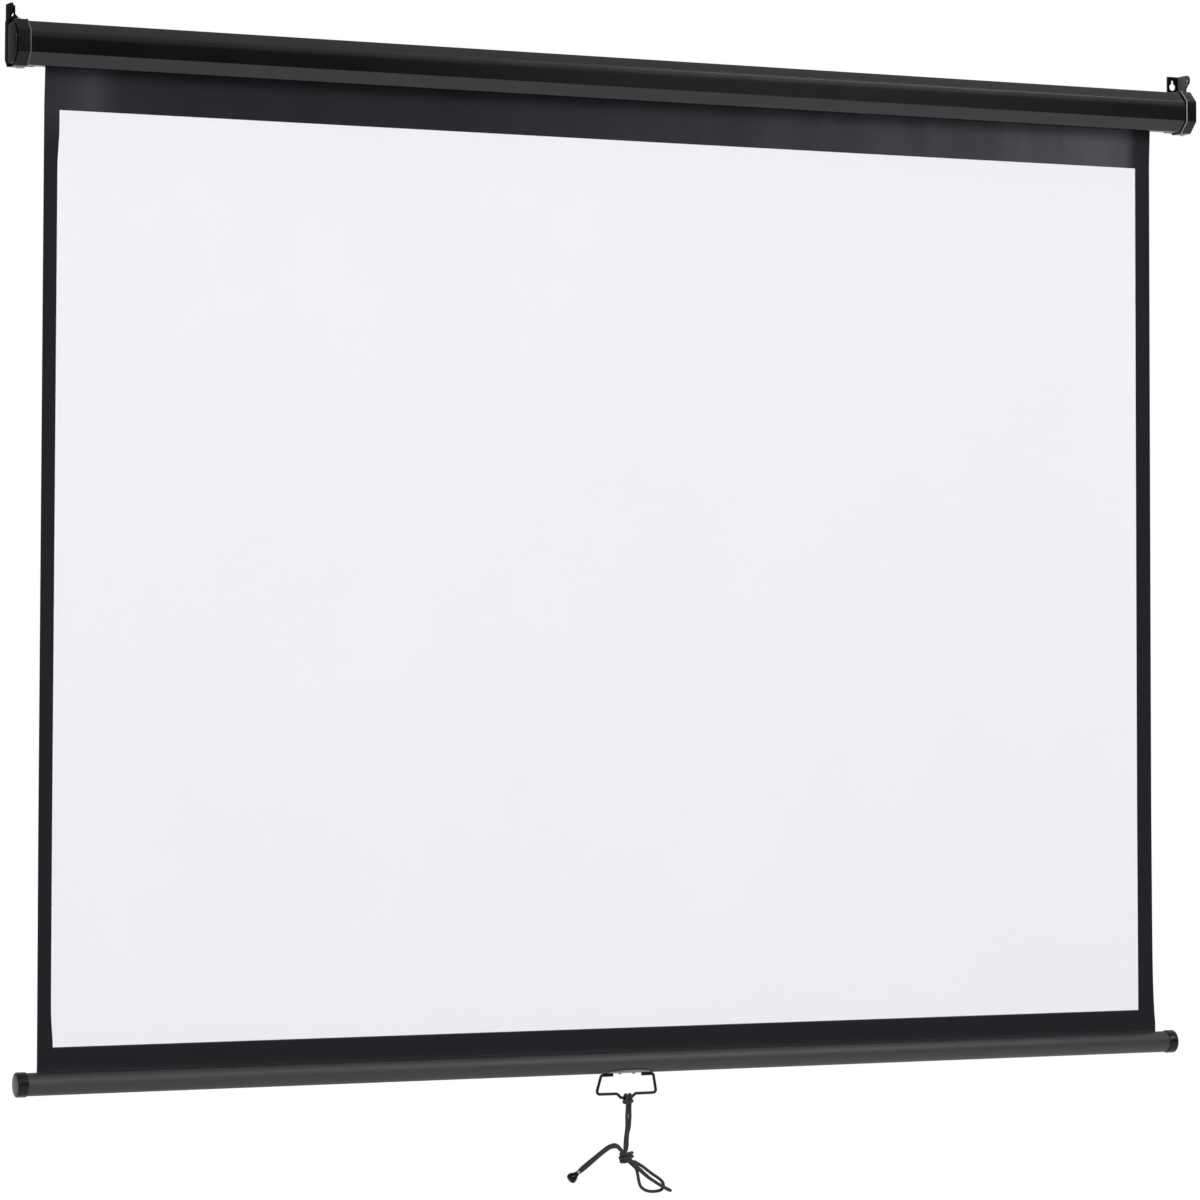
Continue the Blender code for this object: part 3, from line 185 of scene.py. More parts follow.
lamp("key_lamp", (-4.5, -9.0, 3.0), (0, 0, -0.8), 3.0, 3.0, 350, (1.0, 0.99, 1.0))
lamp("high_lamp", (5.5, -7.5, 5.5), (0, 0, -0.8), 3.0, 3.0, 325)
lamp("side_panel", (3.9, -7.2, 0.6), (0, 0, -0.3), 2.0, 3.2, 7.5)
bpy.context.scene.view_settings.view_transform = "Standard"


# Pull cord
# A braided polyester cord in one length. Its middle is hitched over the handle's wire, and both legs hang
# into a gathering knot. One leg's rest is taken up in a long and a short loop, and both ends share the bell.
mm = 0.001
cord_diameter = 5.4 * mm
hitch = Vector((-3.5, -22.1, -1742.35)) * mm
knot = hitch + Vector((-1.8, 0.0, -100.9)) * mm
left_wrap = [(-0.7, -0.4, -17.5), (-0.7, -1.3, -11), (-1.2, -2.8, -6.2), (-1.7, -5.0, -0.9),
             (-2.3, -3.7, 3.3), (-2.9, 0.0, 4.8), (-3.0, 3.7, 3.3), (-2.8, 5.0, -0.4), (-3.6, 4.6, -4.2),
             (-5.6, 1.6, -6.8), (-7.4, -2.6, -7.9), (-5.4, -6.6, -7.8)]
right_wrap = [(3.6, -8.2, -6.2), (5.8, -6.4, -5.4), (7.0, -2.2, -4.8), (6.9, 2.8, -3.4), (5.9, 5.0, 0.2),
              (5.0, 3.7, 3.7), (4.4, 0.0, 5.2), (4.2, -3.7, 3.5), (4.3, -5.0, -0.7), (4.3, -2.8, -6.0),
              (4.4, -1.3, -11), (4.4, -0.4, -17.5)]
left_leg = [(-4.9, -0.4, -88.9), (-4.0, -0.6, -70), (-1.6, -0.8, -50), (-1.3, 0.1, -32)]
right_leg = [(-0.5, 2.9, -88.9), (1.4, 2.4, -64), (3.8, 0.8, -50), (4.5, -0.7, -32)]
knot_turns = 2.54
knot_climb = 15.0
knot_tilt = radians(-15)
into_knot = [(-4.6, 2.7, 4.4), (-1.6, 1.6, -1.6), (0.4, -1.4, -3.4), (-0.8, -2.8, 0.4), (-2.4, -1.8, 5.6)]
long_loop = [(8.5, -6.6, -7.0), (14.5, -4.4, -8.4), (20, -1.9, -11.2), (27, 0.2, -15.0), (34.5, 0.9, -19.9),
             (45.5, 2.2, -28.0), (55.5, 3.6, -34.4), (65.4, 6.2, -40.6), (71.6, 8.4, -46.0),
             (74.2, 9.7, -51.0), (73.2, 10.1, -56.6), (68, 10.0, -60.4), (54, 8.8, -61.6), (40, 7.0, -58.9),
             (29.5, 5.0, -51.8), (25.2, 3.8, -42), (22.8, 3.3, -31), (19.6, 3.0, -21.0)]
between_loops = [(12.0, 2.8, -13.6), (6.0, 2.6, -8.0), (2.4, 1.8, -0.5), (1.8, -1.6, 2.6), (3.6, -3.2, -0.8),
                 (9.4, -3.4, -8.0), (16.5, -3.4, -14.6)]
short_loop = [(26.5, -3.6, -23.6), (40, -4.2, -35.4), (53, -5.4, -44.6), (63, -6.3, -50.6),
              (72, -7.2, -55.3), (78.0, -6.6, -58.3), (81.4, -3.0, -60.0), (81.0, 1.2, -59.7),
              (77, 3.2, -57.6), (65.5, 3.4, -51.0), (55.5, 3.4, -45.0), (41, 3.4, -35.6), (28, 3.4, -25.0)]
back_to_tail = [(17.0, 3.4, -14.8), (9.6, 3.4, -8.6), (3.4, 2.2, -2.6), (-2.6, 0.0, 3.6)]
# The tail's middle line as (across, up), and how far each of its two strands stands off it, up and back
tail_run = [(-8.0, 9.6, 1.1, 2.5), (-11.6, 13.8, 1.4, 2.4), (-15.8, 18.0, 1.5, 2.3),
            (-21.2, 20.2, 1.5, 2.3), (-27.3, 19.4, 1.3, 2.4), (-33.8, 17.2, 0.9, 2.6),
            (-46.4, 9.2, 0.8, 2.65), (-60.4, -0.8, 1.0, 2.6), (-73.6, -10.4, 1.4, 2.4),
            (-82.5, -16.9, 1.2, 2.5), (-89.4, -22.0, 0.9, 0.7)]


def smooth_run(points, step):
    """Points an even step apart on a smooth curve through the given points."""
    knots = [Vector(p) for p in points]
    knots = [2 * knots[0] - knots[1]] + knots + [2 * knots[-1] - knots[-2]]
    between = 24
    fine = []
    for a, b, c, d in zip(knots, knots[1:], knots[2:], knots[3:]):
        for k in range(between):
            t = k / between
            fine.append(0.5 * (2 * b + (c - a) * t + (2 * a - 5 * b + 4 * c - d) * t * t
                               + (3 * b - a - 3 * c + d) * t ** 3))
    fine.append(knots[-2])
    along = np.concatenate([[0.0], np.cumsum([(q - p).length for p, q in zip(fine, fine[1:])])])
    count = max(2, round(along[-1] / step) + 1)
    wanted = np.linspace(0, along[-1], count)
    table = np.array(fine)
    return [Vector([np.interp(w, along, table[:, axis]) for axis in range(3)]) for w in wanted]


def from_bmesh(name, bm):
    """Put a bmesh into the scene as an object."""
    mesh = bpy.data.meshes.new(name)
    bm.to_mesh(mesh)
    bm.free()
    return shown(name, mesh)


def smoothed(obj, sharp):
    """Shade an object smooth, but for the edges that turn by more than this many degrees."""
    obj.data.shade_smooth()
    obj.data.set_sharp_from_angle(angle=radians(sharp))


def placed(name, bm, sharp=40):
    """Make a closed bmesh a smooth object, with its faces turned outwards."""
    if bm.calc_volume(signed=True) < 0:
        bmesh.ops.reverse_faces(bm, faces=bm.faces)
    made = from_bmesh(name, bm)
    smoothed(made, sharp)
    return made


def swept(name, path, radius, sides):
    """A round cord or wire with eased ends. Its UV map counts turns round it and girths along it."""
    tangents = [(b - a).normalized() for a, b in zip(path, path[1:])]
    turned_halfway = [(a + b).normalized() for a, b in zip(tangents, tangents[1:])]
    tangents = [tangents[0]] + turned_halfway + [tangents[-1]]
    side = tangents[0].orthogonal().normalized()
    rings = []
    reach = 0.0
    for i, (point, tangent) in enumerate(zip(path, tangents)):
        side = (side - tangent * side.dot(tangent)).normalized()
        if i:
            reach += (point - path[i - 1]).length
        rings.append((point, tangent, side.copy(), radius, reach))
    round_off = 0.35 * radius
    for end, way in ((0, -1), (-1, 1)):
        point, tangent, across, _, reach = rings[end]
        extra = []
        for share, left in ((0.5, 0.87), (0.87, 0.5), (1.0, 0.0)):
            out = way * round_off * share
            size = radius - round_off * (1 - left)
            extra.append((point + tangent * out, tangent, across, size, reach + out))
        rings = extra[::-1] + rings if way < 0 else rings + extra
    bm = bmesh.new()
    angles = [2 * pi * j / sides for j in range(sides)]
    layers = []
    for point, tangent, across, size, _ in rings:
        up = tangent.cross(across)
        layers.append([bm.verts.new(point + (across * cos(a) + up * sin(a)) * size)
                       for a in angles])
    uv = bm.loops.layers.uv.new("run")
    girth = 2 * pi * radius
    for i in range(len(layers) - 1):
        for j in range(sides):
            k = (j + 1) % sides
            face = bm.faces.new((layers[i][j], layers[i][k], layers[i + 1][k], layers[i + 1][j]))
            for loop, (row, turn) in zip(face.loops, ((i, j), (i, j + 1), (i + 1, j + 1), (i + 1, j))):
                loop[uv].uv = (turn / sides, rings[row][4] / girth)
    bm.faces.new(layers[0][::-1])
    bm.faces.new(layers[-1])
    bmesh.ops.recalc_face_normals(bm, faces=bm.faces)
    return placed(name, bm)


def knot_turn(share):
    """A point on the gathering turns, which tilt, swell in the middle and start a little to the right."""
    angle = radians(90 + 360 * knot_turns * share)
    climb = knot_climb * (0.5 - share) + 1.0
    swell = 8.0 + 3.4 * sin(pi * (0.1 + 0.8 * share)) ** 0.8
    across = swell * cos(angle) + 2.2 * (1 - share) ** 2 - 1.2 * share
    return (across * cos(knot_tilt) + climb * sin(knot_tilt), 0.74 * swell * sin(angle),
            climb * cos(knot_tilt) - across * sin(knot_tilt))


def tail_strand(way):
    """One of the tail's two strands, from the knot to the bell: the upper one for 1, the lower one for -1."""
    strand = []
    for i, (across, up, off, back) in enumerate(tail_run):
        before, after = tail_run[max(0, i - 1)], tail_run[min(len(tail_run) - 1, i + 1)]
        run = Vector((after[0] - before[0], after[1] - before[1])).normalized()
        strand.append((across + run.y * off * way, back * way, up - run.x * off * way))
    return strand


def principled(name):
    """A new material, with its node tree and its shader."""
    made = bpy.data.materials.new(name)
    made.use_nodes = True
    return made, made.node_tree, made.node_tree.nodes["Principled BSDF"]


def noise(tree, place, scale, detail, roughness=0.5):
    """Soft random patches."""
    return fed(tree, "ShaderNodeTexNoise", {
        "Vector": place, "Scale": scale, "Detail": detail, "Roughness": roughness})


def blend(tree, share, dark, light):
    """A colour between a dark and a light one."""
    mix = joined(tree, "ShaderNodeMix", {0: share, 6: (*dark, 1), 7: (*light, 1)}, data_type="RGBA")
    return mix.outputs[2]


def bump(tree, height, strength, distance):
    """A relief for the shader's normal."""
    return fed(tree, "ShaderNodeBump", {"Height": height, "Strength": strength, "Distance": distance})


from_bell = tail_strand(1)[::-1] + into_knot
over_wire = left_leg + left_wrap + [(-1.0, -8.4, -7.0)] + right_wrap + right_leg[::-1]
round_knot = [knot_turn(k / 36) for k in range(2, 37)]
to_bell = long_loop + between_loops + short_loop + back_to_tail + tail_strand(-1)
route = [knot + Vector(p) * mm for p in from_bell]
route += [hitch + Vector(p) * mm for p in over_wire]
route += [knot + Vector(p) * mm for p in round_knot + to_bell]
cord_path = smooth_run(route, 1.3 * mm)

braid, tree, shader = principled("braided_cord")
run = joined(tree, "ShaderNodeSeparateXYZ", {0: fed(tree, "ShaderNodeUVMap", uv_map="run")})
strand_count = 8.0
strands = []
for lean in (1, -1):
    # As many strands run each way round the cord, one way over the other in turn
    lean_by = maths(tree, "MULTIPLY", run.outputs["X"], strand_count * lean)
    lay = maths(tree, "MULTIPLY_ADD", run.outputs["Y"], strand_count, lean_by)
    strands.append(maths(tree, "SINE", maths(tree, "MULTIPLY", lay, 2 * pi)))
raised = ranged(tree, maths(tree, "MULTIPLY", *strands), -1.0, 1.0)
fibre = noise(tree, joined(tree, "ShaderNodeTexCoord").outputs["Object"], 1800.0, 4.0)
# The colour darkens in the braid's hollows as painted shade, and is lighter on the strands' crowns
feed(tree, shader, {
    "Base Color": blend(tree, raised, (0.005, 0.005, 0.0055), (0.030, 0.030, 0.032)),
    "Roughness": ranged(tree, fibre, 0.0, 1.0, 0.62, 0.85),
    "Normal": bump(tree, maths(tree, "MULTIPLY_ADD", fibre, 0.35, raised), 0.9, 0.35 * mm),
    "Sheen Weight": 0.12, "Sheen Roughness": 0.5})

cord = swept("pull_cord", cord_path, cord_diameter / 2, 14)
cord.data.materials.append(braid)
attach(cord, "cord")
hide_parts("cord_legs", "gather_knot", "cord_loop_long", "cord_loop_short", "cord_tail")


# Cord bell
# A glossy moulded bell that covers the cord's end, so that it can be gripped and can't fray.
# A narrow bright ferrule holds it on the cord.
touching = 2e-6


def turned(name, profile, centre, direction, steps, sharp=35):
    """Spin a closed half-section of (along, out) pairs about a line through centre."""
    bm = bmesh.new()
    axis = Vector(direction).normalized()
    side = axis.orthogonal().normalized()
    verts = [bm.verts.new(Vector(centre) + axis * a + side * r) for a, r in profile]
    edges = [bm.edges.new((a, b)) for a, b in zip(verts, verts[1:] + verts[:1])]
    spine = [e for e in edges if all(abs((v.co - Vector(centre)).dot(side)) < 1e-6 for v in e.verts)]
    bmesh.ops.delete(bm, geom=spine, context="EDGES_FACES")
    bmesh.ops.spin(bm, geom=bm.verts[:] + bm.edges[:], cent=centre, axis=axis, angle=2 * pi,
                   steps=steps, use_merge=True)
    bmesh.ops.remove_doubles(bm, verts=bm.verts, dist=touching)
    bmesh.ops.recalc_face_normals(bm, faces=bm.faces)
    return placed(name, bm, sharp)


def finish(name, dark, light, roughness, spread, grain, height, metallic=0.0, patch=9.0, stretch=(1, 1, 1),
           specular=0.5):
    """A finish whose tone and gloss drift in soft patches, with a fine grain in relief."""
    made, tree, shader = principled(name)
    place = fed(tree, "ShaderNodeMapping", {
        "Vector": joined(tree, "ShaderNodeTexCoord").outputs["Object"], "Scale": stretch})
    patches = noise(tree, place, patch, 5.0, 0.6)
    fine = noise(tree, place, grain, 3.0)
    both = maths(tree, "ADD", patches, fine)
    feed(tree, shader, {
        "Base Color": blend(tree, patches, dark, light),
        "Roughness": ranged(tree, both, 0.6, 1.4, roughness - spread, roughness + spread),
        "Normal": bump(tree, fine, 0.6, height),
        "Metallic": metallic, "Specular IOR Level": specular})
    return made


tail_end, before_end = [Vector((across, 0, up)) for across, up, _, _ in (tail_run[-1], tail_run[-2])]
bell_seat = knot + tail_end * mm
bell_way = (tail_end - before_end).normalized()
bell_shape = smooth_run([(x * mm, r * mm, 0) for x, r in (
    (1.6, 2.8), (1.9, 3.8), (3.2, 4.1), (6.6, 5.4), (10.6, 7.7), (14.2, 8.85), (17.2, 8.75), (19.7, 7.3),
    (21.1, 4.8), (21.5, 2.0), (21.55, 0.0))], 0.5 * mm)
bell_black = finish("polished_black", (0.001, 0.001, 0.001), (0.002, 0.002, 0.002), 0.10, 0.03, 500,
                    0.004 * mm, specular=0.2)
bell = turned("bell", [(p.x, p.y) for p in bell_shape] + [(1.6 * mm, 0)], bell_seat, bell_way, 48)
bell.data.materials.append(bell_black)
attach(bell, "cord")
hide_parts("cord_bell")
ferrule_steel = finish("bright_ferrule", (0.35, 0.35, 0.36), (0.5, 0.5, 0.5), 0.28, 0.06, 900, 0.01 * mm, 1.0)
ferrule_shape = [(-1.2, 3.0), (-1.0, 3.8), (-0.4, 4.0), (1.0, 4.0), (1.5, 3.8), (1.6, 3.0)]
ferrule = turned("bell_ferrule", [(x * mm, r * mm) for x, r in ferrule_shape], bell_seat, bell_way, 48)
ferrule.data.materials.append(ferrule_steel)
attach(ferrule, "cord")


# Wire bail
# A steel wire bent to a trapezoid with a dip in its middle that keeps the cord centred, painted black.
# Its two ends turn inwards and swing in the saddle's barrels.
def rounded(corners, steps):
    """A path with each (a, b, radius) corner, in millimetres, replaced by an arc of that radius."""
    corners = [(a * mm, b * mm, radius * mm) for a, b, radius in corners]
    path = [Vector(corners[0][:2])]
    for before, (a, b, radius), after in zip(corners, corners[1:], corners[2:]):
        here = Vector((a, b))
        if radius <= 0:
            path.append(here)
            continue
        back = (Vector(before[:2]) - here).normalized()
        on = (Vector(after[:2]) - here).normalized()
        half = acos(max(-1.0, min(1.0, back.dot(on)))) / 2
        middle = here + (back + on).normalized() * (radius / sin(half))
        start = here + back * (radius / tan(half)) - middle
        sweep = (pi - 2 * half) * (-1 if back.x * on.y - back.y * on.x > 0 else 1)
        for k in range(steps + 1):
            path.append(middle + Matrix.Rotation(sweep * k / steps, 2) @ start)
    path.append(Vector(corners[-1][:2]))
    return path


handle_x, cloth_y, pivot_z = -4 * mm, -22.1 * mm, -1703.45 * mm
wire_radius = 2.45 * mm
bail_corners = [(31, 0, 0), (48.8, 0, 3.5), (54.4, -32.2, 5), (15.6, -32.3, 4), (7.5, -38.9, 3),
                (-11.5, -38.9, 3), (-19.4, -31.9, 4), (-58.0, -31.6, 5), (-48.8, 0, 3.5), (-31, 0, 0)]
bail_path = [Vector((handle_x + p.x, cloth_y, pivot_z + p.y)) for p in rounded(bail_corners, 10)]
handle_paint = finish("handle_paint", (0.003, 0.003, 0.0035), (0.006, 0.006, 0.0065), 0.34, 0.07, 700,
                      0.02 * mm, patch=40, specular=0.25)
bail = swept("bail_wire", bail_path, wire_radius, 24)
bail.data.materials.append(handle_paint)
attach(bail, "bail")
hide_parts("handle_bail")


# Handle saddle
# Sheet steel pressed to the tube's curve, pointed at both ends, with a rolled barrel under each end.
# Two rivets hold it to the weight tube. The wire's ends turn in its barrels.
tube_radius, bar_z = 17.4 * mm, -1682 * mm
saddle_inner, saddle_wall = tube_radius + 0.3 * mm, 1.2 * mm
# The brim is a band of painted shade along the plate's long edges
saddle_length, painted_shade_brim = 92 * mm, radians(8)
barrel_outer, barrel_inner, barrel_radius = 44.5 * mm, 27 * mm, 2.6 * mm


def saddle_spread(share):
    """The plate's reach round the tube, as an angle, at a share from -1 to 1 of its half length."""
    return radians(14 + 44 * (1 - abs(share) ** 4.5))


def settled(obj):
    """Turn an object and its modifiers into a plain mesh."""
    graph = bpy.context.evaluated_depsgraph_get()
    mesh = bpy.data.meshes.new_from_object(obj.evaluated_get(graph))
    obj.modifiers.clear()
    obj.data = mesh
    return obj


def ease_edges(obj, width, angle):
    """Add a narrow bevel to the edges that turn by more than this many degrees."""
    edge = obj.modifiers.new("eased edges", "BEVEL")
    edge.width = width
    edge.segments = 2
    edge.limit_method = "ANGLE"
    edge.angle_limit = radians(angle)


def add_wall(obj, thickness, offset, ease=0.0):
    """Give a sheet its thickness, and ease its edges."""
    wall = obj.modifiers.new("wall", "SOLIDIFY")
    wall.thickness = thickness
    wall.offset = offset
    wall.use_even_offset = True
    if ease:
        ease_edges(obj, ease, 40)
    settled(obj)
    smoothed(obj, 50)


bm = bmesh.new()
half_rows, half_columns = 24, 12
rows = []
for i in range(2 * half_rows + 1):
    share = i / half_rows - 1
    x = handle_x + saddle_length / 2 * share
    angles = [saddle_spread(share) * (j / half_columns - 1) for j in range(2 * half_columns + 1)]
    rows.append([bm.verts.new((x, cloth_y + saddle_inner * sin(a), bar_z - saddle_inner * cos(a)))
                 for a in angles])
for a, b in zip(rows, rows[1:]):
    for j in range(2 * half_columns):
        bm.faces.new((a[j], a[j + 1], b[j + 1], b[j]))
bmesh.ops.recalc_face_normals(bm, faces=bm.faces)
bm.faces.ensure_lookup_table()
if bm.faces[half_rows * 2 * half_columns + half_columns].normal.z > 0:
    # The faces look away from the tube, so that the wall grows outwards
    bmesh.ops.reverse_faces(bm, faces=bm.faces)
saddle = from_bmesh("saddle_plate", bm)
saddle_steel = finish("dark_plated_steel", (0.18, 0.18, 0.185), (0.27, 0.27, 0.275), 0.34, 0.06, 500,
                      0.01 * mm, 0.85, patch=30)
saddle.data.materials.append(saddle_steel)
add_wall(saddle, saddle_wall, 1, 0.25 * mm)
saddle.data.materials.append(handle_paint)
for face in saddle.data.polygons:
    # The cut edges and a brim along them are black: the handle's paint, and painted shade for the gap against
    # the tube. The broad face is rubbed
    y, z = face.center.y - cloth_y, face.center.z - bar_z
    share = max(-1.0, min(1.0, (face.center.x - handle_x) / (saddle_length / 2)))
    on_brim = atan2(abs(y), -z) > saddle_spread(share) - painted_shade_brim
    if on_brim or face.normal.dot(Vector((0, y, z)).normalized()) < 0.8:
        face.material_index = 1
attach(saddle, "bar")
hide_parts("handle_saddle")


def geometry_tree(name, **sizes):
    """A Geometry Nodes tree with named sizes and a finish as its inputs. Gives the tree and those inputs."""
    tree = bpy.data.node_groups.new(name, "GeometryNodeTree")
    kinds = {"Geometry": "Geometry", **sizes, "Finish": "Material"}
    for size, kind in kinds.items():
        tree.interface.new_socket(size, in_out="INPUT", socket_type="NodeSocket" + kind)
    tree.interface.new_socket("Geometry", in_out="OUTPUT", socket_type="NodeSocketGeometry")
    return tree, tree.nodes.new("NodeGroupInput").outputs


def completed(tree, given, geometry):
    """Give the geometry its finish, and let the tree put it out."""
    coated = fed(tree, "GeometryNodeSetMaterial", {"Geometry": geometry, "Material": given["Finish"]})
    joined(tree, "NodeGroupOutput", {0: coated})


def own_place(tree):
    """Each point's place, as X, Y and Z."""
    return joined(tree, "ShaderNodeSeparateXYZ", {0: fed(tree, "GeometryNodeInputPosition")}).outputs


def grown(name, tree, sizes, points=()):
    """A plain mesh made by a Geometry Nodes tree, from the points it starts with and its sizes."""
    seed = bpy.data.meshes.new(name)
    seed.from_pydata([tuple(p) for p in points], [], [])
    made = shown(name, seed)
    growth = made.modifiers.new("growth", "NODES")
    growth.node_group = tree
    for item in tree.interface.items_tree:
        if item.in_out == "INPUT" and item.name in sizes:
            growth[item.identifier] = sizes[item.name]
    return settled(made)


# A rolled sheet: a flat grid wound round the X axis, whose radius may grow from turn to turn
rolled, given = geometry_tree("rolled sheet", Length="Float", Radius="Float", Start="Float", Sweep="Float",
                              Growth="Float", Middle="Vector", Steps="Int")
level = fed(rolled, "GeometryNodeMeshGrid", {
    "Size X": given["Length"], "Size Y": 1.0, "Vertices X": 2, "Vertices Y": given["Steps"]})
where = own_place(rolled)
share = maths(rolled, "ADD", where["Y"], 0.5)
angle = maths(rolled, "MULTIPLY_ADD", share, given["Sweep"], given["Start"])
radius = maths(rolled, "MULTIPLY_ADD", share, given["Growth"], given["Radius"])
across = maths(rolled, "MULTIPLY", radius, maths(rolled, "COSINE", angle))
above = maths(rolled, "MULTIPLY", radius, maths(rolled, "SINE", angle))
wound = fed(rolled, "ShaderNodeCombineXYZ", {"X": where["X"], "Y": across, "Z": above})
moved = fed(rolled, "ShaderNodeVectorMath", {0: wound, 1: given["Middle"]}, operation="ADD")
curled = fed(rolled, "GeometryNodeSetPosition", {"Geometry": level, "Position": moved})
merged = fed(rolled, "GeometryNodeMergeByDistance", {"Geometry": curled, "Distance": 1e-6})
completed(rolled, given, merged)

for side, name in ((-1, "left_barrel"), (1, "right_barrel")):
    middle = handle_x + side * (barrel_outer + barrel_inner) / 2
    barrel = grown(name, rolled, {
        "Length": barrel_outer - barrel_inner, "Radius": barrel_radius, "Start": radians(100),
        "Sweep": radians(352), "Growth": 0.0, "Middle": (middle, cloth_y, pivot_z), "Steps": 41,
        "Finish": handle_paint})
    add_wall(barrel, 0.8 * mm, 1, 0.15 * mm)
    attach(barrel, "bar")


# Saddle rivets
# Two low steel domes with flat seats, painted with the handle.
# They go through the saddle's middle and hold it to the weight tube.
def shaped_ball(tree, rings, height_of):
    """A ball of radius 1 whose heights are changed by a function."""
    ball = fed(tree, "GeometryNodeMeshUVSphere", {"Segments": 32, "Rings": rings, "Radius": 1.0})
    spot = own_place(tree)
    height = height_of(spot["Z"])
    place = fed(tree, "ShaderNodeCombineXYZ", {"X": spot["X"], "Y": spot["Y"], "Z": height})
    return fed(tree, "GeometryNodeSetPosition", {"Geometry": ball, "Position": place})


def on_points(tree, given, head, **turn):
    """A head on every point, at the size that the tree is given."""
    size = fed(tree, "ShaderNodeCombineXYZ", {
        "X": given["Radius"], "Y": given["Radius"], "Z": given["Height"]})
    heads = fed(tree, "GeometryNodeInstanceOnPoints", {
        "Points": given["Geometry"], "Instance": head, "Scale": size, **turn})
    return fed(tree, "GeometryNodeRealizeInstances", {0: heads})


rivets, given = geometry_tree("rivets", Radius="Float", Height="Float")
half_ball = shaped_ball(rivets, 16, lambda z: maths(rivets, "MINIMUM", z, 0.15))
heads = on_points(rivets, given, half_ball)
completed(rivets, given, fed(rivets, "GeometryNodeSetShadeSmooth", {0: heads}))
rivet_z = bar_z - saddle_inner - saddle_wall
rivet_heads = grown("saddle_rivets", rivets, {"Radius": 2.9 * mm, "Height": 1.7 * mm, "Finish": handle_paint},
                    [(handle_x - 14 * mm, cloth_y, rivet_z), (handle_x + 12 * mm, cloth_y, rivet_z)])
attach(rivet_heads, "bar")


# Weight tube
# Steel rolled to a tube with a slot along its top, powder coated satin black.
# The cloth's hem, with a steel rod in it, slides in from one end and can't pull out through the slot.
bar_paint = finish("bar_powder_coat", (0.005, 0.005, 0.0055), (0.008, 0.008, 0.0085), 0.56, 0.04, 650,
                   0.035 * mm, patch=14, specular=0.8)
tube_wall, tube_slot = 1.2 * mm, 4.6 * mm
bar_end, bar_middle = 1083 * mm, -3 * mm
slot_angle = asin(tube_slot / 2 / (tube_radius - tube_wall / 2))
bar_tube = grown("weight_tube", rolled, {
    "Length": 2 * (bar_end - 3.5 * mm), "Radius": tube_radius, "Start": pi / 2 + slot_angle,
    "Sweep": 2 * pi - 2 * slot_angle, "Growth": 0.0, "Middle": (bar_middle, cloth_y, bar_z),
    "Steps": 97, "Finish": bar_paint})
add_wall(bar_tube, tube_wall, -1, 0.2 * mm)
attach(bar_tube, "bar")
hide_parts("bar_tube")

zinc = finish("zinc_plate", (0.42, 0.42, 0.43), (0.6, 0.6, 0.62), 0.34, 0.08, 400, 0.02 * mm, 1.0, patch=60)
fabric_half, fabric_middle = 1043 * mm, -6.5 * mm
rod_radius = 4 * mm
hem_z = bar_z + sqrt((tube_radius - tube_wall) ** 2 - (tube_slot / 2) ** 2) - 6.3 * mm
rod_shape = [(-1, 0), (-1, 0.7), (-0.9992, 1), (0.9992, 1), (1, 0.7), (1, 0)]
hem_rod = turned("hem_rod_steel", rod_shape, (0, 0, 0), (1, 0, 0), 32)
rod_size = Matrix.Diagonal((fabric_half + 8 * mm, rod_radius, rod_radius, 1))
hem_rod.data.transform(Matrix.Translation((fabric_middle, cloth_y, hem_z)) @ rod_size)
hem_rod.data.materials.append(zinc)
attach(hem_rod, "bar")
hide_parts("hem_rod")


# Weight tube's caps
# Moulded plugs that cover the tube's ends and keep the rod in. Each has a narrow collar round the tube,
# and a slightly domed face.
cap_plastic = finish("moulded_black", (0.002, 0.002, 0.0022), (0.004, 0.004, 0.0043), 0.28, 0.06, 1500,
                     0.02 * mm, patch=30, specular=0.26)
cap_radius, cap_length, cap_round = 20.2 * mm, 18 * mm, 3.2 * mm
bore = tube_radius + 0.3 * mm
mouth = bar_end - cap_length
collar = [(-4.5, 0), (-4.5, 0.5), (-4.3, 0.7), (-0.3, 0.75), (0, 0.95)]
cap_line = [(mouth + x * mm, bore + r * mm) for x, r in collar]
cap_line += [(mouth + x * mm, cap_radius - r * mm) for x, r in ((0.35, 0.75), (0.6, 0.3), (1.1, 0))]
for k in range(9):
    turn = radians(90 - 10 * k)
    cap_line.append((bar_end - 3.8 * mm + cap_round * cos(turn),
                     cap_radius - cap_round + cap_round * sin(turn)))
cap_line += [(bar_end - 0.35 * mm, 13 * mm), (bar_end - 0.12 * mm, 8 * mm), (bar_end, 0),
             (bar_end - 3.2 * mm, 0), (bar_end - 3.2 * mm, bore)]
for side, name in ((-1, "left"), (1, "right")):
    made = turned(name + "_tube_cap", cap_line, (bar_middle, cloth_y, bar_z), (side, 0, 0), 72, 28)
    made.data.materials.append(cap_plastic)
    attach(made, "bar")
    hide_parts(name + "_bar_cap")


# Screen cloth
# Woven glass and PVC, coated matt white, with a black border on every side and a black back.
# It hangs from the roller through the casing's slot, and its foot is welded into a pocket for the rod.
cloth_thick = 0.4 * mm
cloth_left, cloth_right = fabric_middle - fabric_half, fabric_middle + fabric_half
white_left, white_right = cloth_left + 23 * mm, cloth_right - 30.5 * mm
cloth_top, white_top, white_foot = -0.6 * mm, -103.6 * mm, -1623.6 * mm
line_foot = white_foot - 2.0 * mm
casing_foot = -36 * mm
weld_z, weld_lap = bar_z + tube_radius + 14 * mm, 6 * mm


def held(share):
    """A share kept between 0 and 1."""
    return max(0.0, min(1.0, share))


def drawn(x, z):
    """The cloth's place across: its lower right corner is pulled out, and the white's left corners run in."""
    if x > white_right:
        return x + 5.5 * mm * exp((weld_z - z) / 0.045) * (x - white_right) / (cloth_right - white_right)
    if x == white_left:
        high = held((z - white_top + 0.085) / 0.05)
        low = exp(-(max(0.0, z - white_foot) / 0.035) ** 2)
        return x + 2.9 * mm * high + 3.4 * mm * low
    return x


